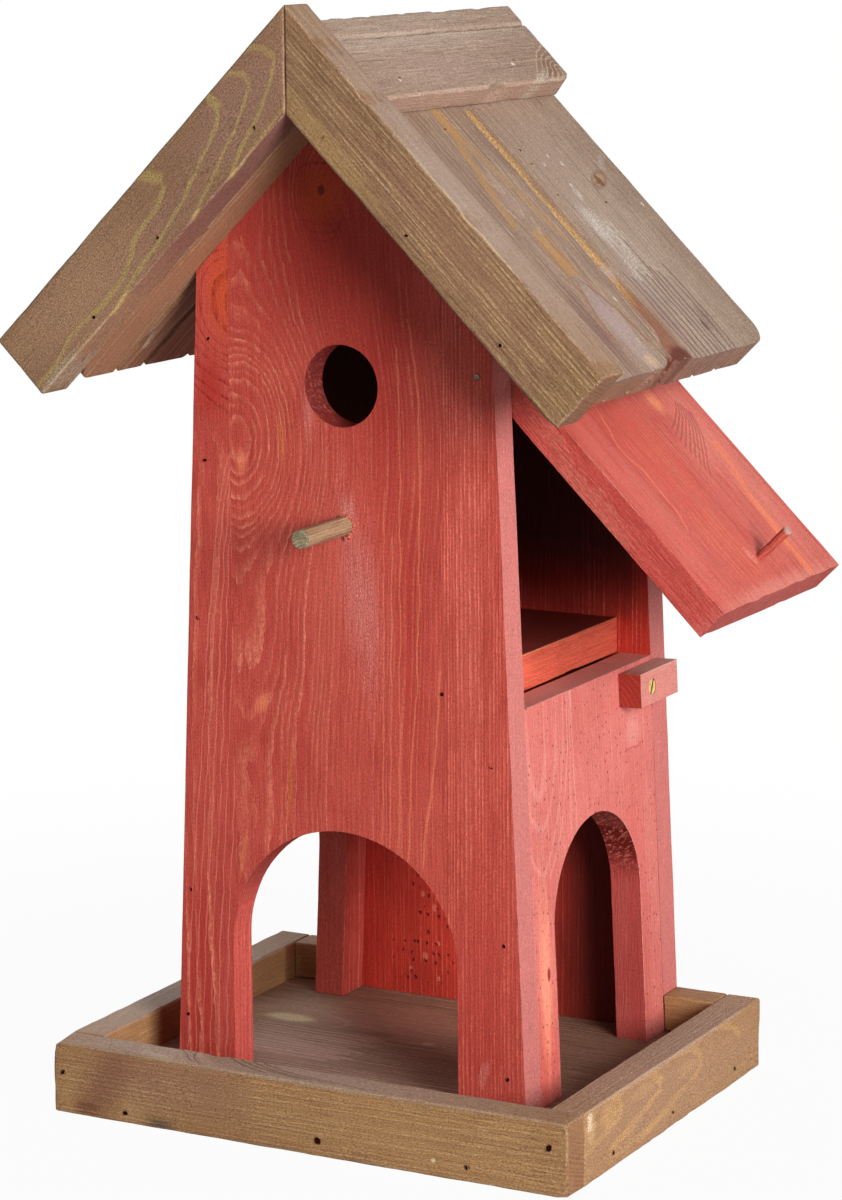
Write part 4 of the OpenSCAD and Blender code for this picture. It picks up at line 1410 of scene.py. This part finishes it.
class FEEDER_OT_walls(bpy.types.Operator):
    """Finishes the tower's walls, its low panel and the nest floor"""

    bl_idname = "feeder.walls"
    bl_label = "Walls"
    bl_options = {"REGISTER", "UNDO"}

    def execute(self, context):
        wear = context.scene.feeder_wear
        for seed, node in enumerate(WALLS, 1):
            finish = stain("inside" if node.startswith("back") else "red")
            pale = None
            # painted light: the right boards' faces turned to the key lamp take this paler colour, which their
            # worn edges share
            if node.endswith("right"):
                finish.worn = rgb(198, 124, 118)
                pale = lit_right_side
            board(node, f"red stain {node}", finish, GRAINS[node], wear.wall_edge,
                  cell=wear.cell, depth=wear.unevenness * 0.7, seed=float(seed),
                  is_cut=sawn_walls, is_lit=pale, knocks=0.0004)
        board("right_panel", "red stain right panel", stain("pink"), GRAINS["right_panel"],
              wear.wall_edge, cell=wear.cell, depth=wear.unevenness * 0.6, seed=9.0,
              is_cut=sawn_walls, is_lit=self.lit_panel_top, knocks=0.0003)
        sawn_orange = Stain(user_colour("bare_orange"), rgb(178, 62, 48), rgb(234, 128, 88),
                            rgb(230, 170, 120), rgb(176, 70, 52))
        board("nest_floor", "sawn nest floor", sawn_orange, GRAINS["nest_floor"], wear.wall_edge,
              cell=wear.cell, depth=wear.unevenness, seed=10.0, knocks=0.0006)
        self.nails()
        return {"FINISHED"}

    # painted light: the panel's top is painted paler, as light from above
    @staticmethod
    def lit_panel_top(centre, normal):
        return 0.6 * (normal.z > 0.7 and centre.z > 0.1)

    def nails(self):
        """The nails that hold the front wall to the side walls and back wall."""
        spots = [(-65.8, 338.6), (-68.5, 286.3), (-73.4, 217.2), (-79.3, 95.6), (-82, 38.4),
                 (45.5, 194.9), (68.4, 165.9), (74.2, 89.5), (75.8, 31.3)]
        rim = plain_wood("torn red fibres", rgb(196, 86, 74), rgb(150, 46, 38))
        nail_row("wall_nails", rim, [
            (Vector((x * MM, WALL_Y - PROUD, z * MM)), -Y, 0.85) for x, z in spots
        ])


class FEEDER_OT_roof(bpy.types.Operator):
    """Finishes the bargeboards, the planks and the ridge boards"""

    bl_idname = "feeder.roof"
    bl_label = "Roof"
    bl_options = {"REGISTER", "UNDO"}

    def execute(self, context):
        wear = context.scene.feeder_wear
        self.bargeboards(wear)
        self.planks(wear)
        self.ridge(wear)
        self.nails()
        return {"FINISHED"}

    def bargeboards(self, wear):
        for node, line, chips in (
            ("bargeboard_right", None, ((22, 0), (52, 0), (118, 0), (196, 0), (201, -30))),
            ("bargeboard_left", rgb(178, 156, 86), ((90, -31), (140, -31))),
        ):
            grain = GRAINS[node]
            reach, depth = 0.004, 0.0016
            dents = [
                (PEAK + grain.along * u * MM + grain.across * v * MM, reach, depth,
                 (-grain.across if v > -10 else grain.across))
                for u, v in chips
            ]
            finish = stain("barge")
            finish.line = line or finish.line
            board(node, f"brown stain {node}", finish, grain, wear.barge_edge,
                  depth=wear.unevenness, knocks=0.0005, share=0.35, dents=dents)

    def planks(self, wear):
        eaves, joint_y, thickness = 0.1945, 0.1075, 0.0185
        joint = PEAK + DOWN_RIGHT * eaves + Y * joint_y - UP_RIGHT * thickness
        dents = {
            "plank_right_front": ((joint, 0.013, 0.006, -DOWN_RIGHT - Y * 0.6),
                                  (joint - DOWN_RIGHT * 0.006, 0.008, 0.0025, -UP_RIGHT)),
            "plank_right_back": ((joint + Y * 0.006, 0.009, 0.004, -DOWN_RIGHT + Y * 0.4),),
        }
        for node in (node for node in GRAINS if node.startswith("plank_")):
            board(node, f"brown stain {node}", stain("brown"), GRAINS[node], wear.roof_edge,
                  cell=0.006, depth=wear.unevenness * 1.3, knocks=0.0008, share=0.4,
                  dents=dents.get(node, ()))

    def ridge(self, wear):
        for node, down, outward, pith, seed, chips in (
            ("ridge_board_right", DOWN_RIGHT, UP_RIGHT, (96, -40), 67.0,
             ((125, 49.5), (131, 49.5), (199, 30), (199, 49))),
            ("ridge_board_left", DOWN_LEFT, UP_LEFT, (60, 30), 66.0, ((10, 0),)),
        ):
            reach, depth, inward = 0.006, 0.0022, 0.006
            dents = [
                (PEAK + Y * y * MM + down * u * MM - outward * inward, reach, depth, -down)
                for y, u in chips
            ]
            board(node, f"brown stain {node}", stain("brown"), ridge_grain(down, pith, seed),
                  wear.roof_edge * 0.8, depth=wear.unevenness, knocks=0.0009, share=0.4,
                  dents=dents)

    def nails(self):
        """The nails in the bargeboards, the planks and the ridge board."""
        places = [
            (PEAK + down * u * MM - up * v * MM - Y * PROUD, -Y, 0.8)
            for down, up, spots in ((DOWN_RIGHT, UP_RIGHT, ((50, 25), (103, 25), (162, 25))),
                                    (DOWN_LEFT, UP_LEFT, ((45, 25), (111, 24.5), (158, 26))))
            for u, v in spots
        ]
        ridge = ((39.9, -48.8), (36.8, 59.5))
        planks = ((76, 27), (84, 27), (102, 26), (110, 62), (60, -60), (60, -20))
        ridge_sunk, planks_sunk = 0.0045, 0.0165
        for sunk, spots in ((ridge_sunk, ridge), (planks_sunk, planks)):
            for u, y in spots:
                place = PEAK + DOWN_RIGHT * u * MM - UP_RIGHT * sunk
                place.y = y * MM
                places.append((place + UP_RIGHT * PROUD, UP_RIGHT, 0.6))
        rim = plain_wood("torn brown fibres", rgb(196, 164, 116), rgb(112, 76, 52))
        nail_row("roof_nails", rim, places)


class FEEDER_OT_tray(bpy.types.Operator):
    """Finishes the tray's floor and battens"""

    bl_idname = "feeder.tray"
    bl_label = "Tray"
    bl_options = {"REGISTER", "UNDO"}

    def execute(self, context):
        wear = context.scene.feeder_wear
        lo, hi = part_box("rim_front")
        bruises = [
            (Vector((x, y, z)), reach, depth, way)
            for x, y, z, reach, depth, way in (
                (lo.x, lo.y, hi.z, 0.006, 0.0014, DOWN_RIGHT),
                (hi.x, lo.y, hi.z, 0.004, 0.0009, DOWN_LEFT),
                (hi.x, lo.y, lo.z, 0.005, 0.0012, UP_LEFT),
                (lo.x + 0.075, hi.y, hi.z, 0.005, 0.0010, -Z),
            )
        ]
        for node in (node for node in GRAINS if node.startswith("rim_")):
            board(node, f"tray stain {node}", stain("rim"), GRAINS[node], wear.tray_edge,
                  depth=wear.unevenness, knocks=0.0004, share=0.3,
                  dents=bruises if node == "rim_front" else ())
        board("tray_floor", "tray stain floor", stain("floor"), GRAINS["tray_floor"],
              wear.wall_edge, cell=wear.cell, depth=wear.unevenness * 0.5)
        right_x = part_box("rim_right")[1].x
        front = ((-119.9, 18.6, 1.2), (-88, 4.7, 1.1), (7.9, 7.1, 1.5), (78.7, 6.5, 1.0),
                 (116.6, 20.8, 1.5))
        side = ((-56.2, 6.8), (4, 6.5), (70.7, 7))
        places = [(Vector((x * MM, lo.y - PROUD, z * MM)), -Y, size) for x, z, size in front]
        places += [(Vector((right_x + PROUD, y * MM, z * MM)), X, 0.9) for y, z in side]
        rim = plain_wood("torn tray fibres", rgb(170, 132, 92), rgb(96, 58, 42))
        nail_row("tray_nails", rim, places)
        return {"FINISHED"}


class FEEDER_OT_hatch(bpy.types.Operator):
    """Finishes the hatch, its peg and the nails that it swings on"""

    bl_idname = "feeder.hatch"
    bl_label = "Hatch"
    bl_options = {"REGISTER", "UNDO"}

    def execute(self, context):
        wear = context.scene.feeder_wear
        length, half_thickness, reach, depth = 0.139, 0.0075, 0.005, 0.0007
        lower = PIVOT + HATCH_DOWN * length
        chips = [
            (lower + Y * y * MM + HATCH_OUT * side * half_thickness, reach, depth, -HATCH_DOWN)
            for y, side in ((-40, 1), (-20, 1), (12, 1), (30, 1), (52, 1), (-55, -1), (20, -1))
        ]
        board("hatch", "red stain hatch", stain("hatch"), GRAINS["hatch"], wear.hatch_edge,
              cell=0.006, depth=wear.unevenness * 0.7, is_cut=self.sawn, knocks=0.0005, share=0.4,
              dents=chips)
        way = HATCH_OUT if HATCH_OUT.z > 0 else -HATCH_OUT
        peg = small_piece("hatch_peg", "hatch_peg_wood", radius=0.0006, way=way, cell=0.0025,
                          uneven=(0.004, 0.0003, 2.0))
        far = max((vertex.co - PIVOT).dot(way) for vertex in peg.data.vertices) / MM
        tip = Mark(far, 3, 1.8, 40, rgb(186, 158, 146), 0.8, 0.3)
        grain = Grain(PIVOT, way, Y, pith=(0, 20), ring=1.4, seed=83.0, marks=(tip,))
        deep = Stain(rgb(182, 80, 66), rgb(144, 52, 42), rgb(206, 118, 100),
                     rgb(214, 168, 156))
        dress(peg, "hatch_peg", wood("red stain peg", deep, grain))
        for node in ("pivot_nail_front", "pivot_nail_back"):
            nail = small_piece(node, f"{node}_steel", radius=0.0004)
            dress(nail, node, metal("nail steel " + node, user_colour("steel")))
        return {"FINISHED"}

    @staticmethod
    def sawn(centre, normal):
        """The hatch's lower edge and its front edge."""
        return 0.5 * (normal.dot(HATCH_DOWN) > 0.7) + 0.6 * (normal.y < -0.7)


class FEEDER_OT_button(bpy.types.Operator):
    """Finishes the turn button and its screw"""

    bl_idname = "feeder.button"
    bl_label = "Turn button"
    bl_options = {"REGISTER", "UNDO"}

    def execute(self, context):
        wear = context.scene.feeder_wear
        deep = Stain(rgb(196, 80, 68), rgb(156, 46, 38), rgb(224, 130, 108),
                     rgb(214, 144, 132), rgb(142, 34, 27))
        # painted light: the button's right face is painted paler, as lit by the key lamp
        board("turn_button", "red stain button", deep, GRAINS["turn_button"],
              wear.hatch_edge * 0.6, cell=0.004, depth=0.0003, is_lit=lit_right_side, knocks=0.0003)
        self.screw()
        return {"FINISHED"}

    def screw(self):
        """The brass screw, with a slot cut across its head."""
        slot_width, slot_length, slot_depth = 0.0011, 0.0092, 0.0022
        screw = board_copy("button_screw", "button_screw_brass")
        outward = SCREW_AXIS if SCREW_AXIS.x > 0 else -SCREW_AXIS
        top = max((v.co - SCREW).dot(outward) for v in screw.data.vertices)
        slot_turn = Matrix.Rotation(math.radians(62), 4, outward) @ Matrix.Rotation(
            math.atan2(-outward.z, outward.x), 4, "Y")
        deselect()
        bpy.ops.mesh.primitive_cube_add(size=1.0)
        cutter = bpy.context.object
        cutter.matrix_world = (
            Matrix.Translation(SCREW + outward * top) @ slot_turn
            @ Matrix.Diagonal((slot_depth, slot_length, slot_width, 1)))
        apply_place(cutter)
        modify(screw, "BOOLEAN", operation="DIFFERENCE", object=cutter, solver="EXACT")
        bpy.data.objects.remove(cutter)
        round_edges(screw, 0.00022)
        smooth(screw)
        dress(screw, "button_screw", metal("screw brass", user_colour("brass"), 0.25))
        # painted shade: the faces inside the slot take a dark material
        screw.data.materials.append(plain_wood("screw slot", rgb(96, 66, 26), rgb(40, 24, 10)))
        beside = (slot_turn @ Vector((0, 0, 1))).normalized()
        for face in screw.data.polygons:
            place = face.center - SCREW
            within = abs(place.dot(beside)) < slot_width / 2 + 0.00002
            if within and place.dot(outward) > top - 0.0013:
                face.material_index = 1


class FEEDER_OT_perch(bpy.types.Operator):
    """Finishes the perch and the torn fibres round its root"""

    bl_idname = "feeder.perch"
    bl_label = "Perch"
    bl_options = {"REGISTER", "UNDO"}

    def execute(self, context):
        lo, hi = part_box("perch")
        centre = (lo + hi) / 2
        tip = Mark(0.0, 0, 1.3, 30, rgb(112, 106, 84), 0.9, 0.2)
        grain = Grain(Vector((centre.x, lo.y, centre.z)), Y, X, pith=(3, 9), ring=1.3, wobble=0.5,
                      feather=0.15, seed=95.0, lines=0.7, streaks=0.9, grit=0.9, marks=(tip,))
        piece = small_piece("perch", "perch_dowel", radius=0.0006, way=Y, cell=0.004,
                            uneven=(0.006, 0.0006, 3.0))
        dress(piece, "perch", wood("bare perch", stain("raw"), grain))
        self.splinters(centre)
        return {"FINISHED"}

    def splinters(self, centre):
        """The collar of torn fibres where the perch enters the wall, most on the right."""
        deselect()
        bpy.ops.mesh.primitive_torus_add(
            major_segments=48, minor_segments=8, major_radius=0.0042, minor_radius=0.0007,
            location=(centre.x, WALL_Y + PROUD, centre.z), rotation=(math.pi / 2, 0, 0))
        collar = settle("perch_splinters")
        for vertex in collar.data.vertices:
            flat = Vector((vertex.co.x - centre.x, 0, vertex.co.z - centre.z))
            angle = math.atan2(vertex.co.z - centre.z, vertex.co.x - centre.x)
            tear = noise.noise(Vector((math.cos(angle) * 3.1, math.sin(angle) * 3.1, 0.7)))
            side = 1.0 if math.cos(angle + 0.5) > 0.2 else 0.15
            grow = side * max(0.0, tear + 0.15)
            vertex.co += flat * grow * 0.5 - Y * grow * 0.0012
        collar.data.update()
        collar.data.materials.append(
            plain_wood("splinters", rgb(214, 120, 104), rgb(140, 36, 28)))
        smooth(collar)
        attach(collar, "house")


LAMP_TARGET = Vector((0.02, 0.0, 0.26))
LAMP_DISTANCE = 2.2
FILL_SIZE = 1.6


class FEEDER_OT_stage(bpy.types.Operator):
    """Sets up the floor, the lamps and the camera"""

    bl_idname = "feeder.stage"
    bl_label = "Stage"
    bl_options = {"REGISTER", "UNDO"}

    def execute(self, context):
        stage = context.scene.feeder_stage
        self.floor()
        self.world(stage)
        for name, way, size, power in (
            ("key lamp", (0.82, -0.52, 0.23), stage.key_size, stage.key_power),
            ("fill lamp", (-0.80, 0.52, 0.10), FILL_SIZE, stage.fill_power),
        ):
            self.lamp(name, Vector(way).normalized(), size, power)
        self.camera(stage)
        context.scene.view_settings.view_transform = "Standard"
        return {"FINISHED"}

    def floor(self):
        """A pale paper floor that shows white, with a soft shadow under the tray."""
        deselect()
        bpy.ops.mesh.primitive_plane_add(size=16.0, location=(0, 0, CAD_BOX[0].z - 0.0003))
        floor = settle("floor")
        g = material("floor paper")
        paper = g.wire("ShaderNodeBsdfDiffuse", (("Color", (0.6, 0.6, 0.6)),))
        glow = g.wire("ShaderNodeEmission", (("Strength", 1.0),))
        reach = g.wire("ShaderNodeVectorMath", ((0, g.place()),), "Value", operation="LENGTH")
        far = g.step(reach, 0.18, 0.75)
        camera_ray = g.wire("ShaderNodeLightPath", output="Is Camera Ray")
        seen = camera_ray * (0.955 + far * 0.045)
        floor.data.materials.append(g.close(
            "ShaderNodeOutputMaterial",
            g.wire("ShaderNodeMixShader", ((0, seen), (1, paper), (2, glow)))))

    def world(self, stage):
        """White to the camera and in reflections, and dim light from all round."""
        g = Graph(bpy.data.worlds.new("studio"))
        bpy.context.scene.world = g.owner
        rays = g.node("ShaderNodeLightPath")
        seen = g.math("MAXIMUM", Wire(g, rays.outputs["Is Camera Ray"]),
                      Wire(g, rays.outputs["Is Glossy Ray"]))
        strength = g.wire("ShaderNodeMapRange", (
            ("Value", seen), ("To Min", stage.ambient), ("To Max", 1.0)))
        g.close("ShaderNodeOutputWorld", g.wire("ShaderNodeBackground", (
            ("Color", (1, 1, 1)), ("Strength", strength))))

    def lamp(self, name, toward, size, power):
        """A round soft lamp, out of the camera's sight."""
        deselect()
        bpy.ops.object.light_add(type="AREA", location=LAMP_TARGET + toward * LAMP_DISTANCE)
        lamp = bpy.context.object
        lamp.name = name
        lamp.data.shape = "DISK"
        lamp.data.size = size
        lamp.data.energy = power
        lamp.visible_camera = False
        lamp.rotation_mode = "QUATERNION"
        lamp.rotation_quaternion = (-toward).to_track_quat("-Z", "Y")

    def camera(self, stage):
        """The camera, turned by yaw, pitch and roll."""
        deselect()
        bpy.ops.object.camera_add(location=stage.camera_place)
        camera = bpy.context.object
        camera.name = "camera"
        camera.data.lens = stage.lens
        camera.data.sensor_width = 36.0
        camera.data.clip_start, camera.data.clip_end = 0.05, 50.0
        yaw, pitch, roll = stage.camera_turn
        ahead = Vector((-math.sin(yaw) * math.cos(pitch), math.cos(yaw) * math.cos(pitch),
                        math.sin(pitch)))
        level = Vector((math.cos(yaw), math.sin(yaw), 0))
        up = level.cross(ahead)
        right = level * math.cos(roll) + up * math.sin(roll)
        top = up * math.cos(roll) - level * math.sin(roll)
        camera.rotation_mode = "QUATERNION"
        camera.rotation_quaternion = Matrix((right, top, -ahead)).transposed().to_quaternion()
        bpy.context.scene.camera = camera


class FEEDER_PT_panel(bpy.types.Panel):
    """Lists the steps that finish the feeder's pieces"""

    bl_label = "Bird feeder"
    bl_idname = "FEEDER_PT_panel"
    bl_space_type = "VIEW_3D"
    bl_region_type = "UI"
    bl_category = "Feeder"

    def draw(self, context):
        for operator in OPERATORS:
            self.layout.operator(operator.bl_idname)


GROUPS = {
    "feeder_finishes": FeederFinishes,
    "feeder_wear": FeederWear,
    "feeder_stage": FeederStage,
}
OPERATORS = (
    FEEDER_OT_walls,
    FEEDER_OT_roof,
    FEEDER_OT_tray,
    FEEDER_OT_hatch,
    FEEDER_OT_button,
    FEEDER_OT_perch,
    FEEDER_OT_stage,
)


def register():
    for cls in (*GROUPS.values(), *OPERATORS, FEEDER_PT_panel):
        bpy.utils.register_class(cls)
    for name, group in GROUPS.items():
        setattr(bpy.types.Scene, name, bpy.props.PointerProperty(type=group))


def unregister():
    for name in GROUPS:
        delattr(bpy.types.Scene, name)
    for cls in (FEEDER_PT_panel, *reversed(OPERATORS), *reversed(list(GROUPS.values()))):
        bpy.utils.unregister_class(cls)


def main():
    register()
    bpy.ops.feeder.walls()
    bpy.ops.feeder.roof()
    bpy.ops.feeder.tray()
    bpy.ops.feeder.hatch()
    bpy.ops.feeder.button()
    bpy.ops.feeder.perch()
    bpy.ops.feeder.stage()


if __name__ == "__main__":
    main()
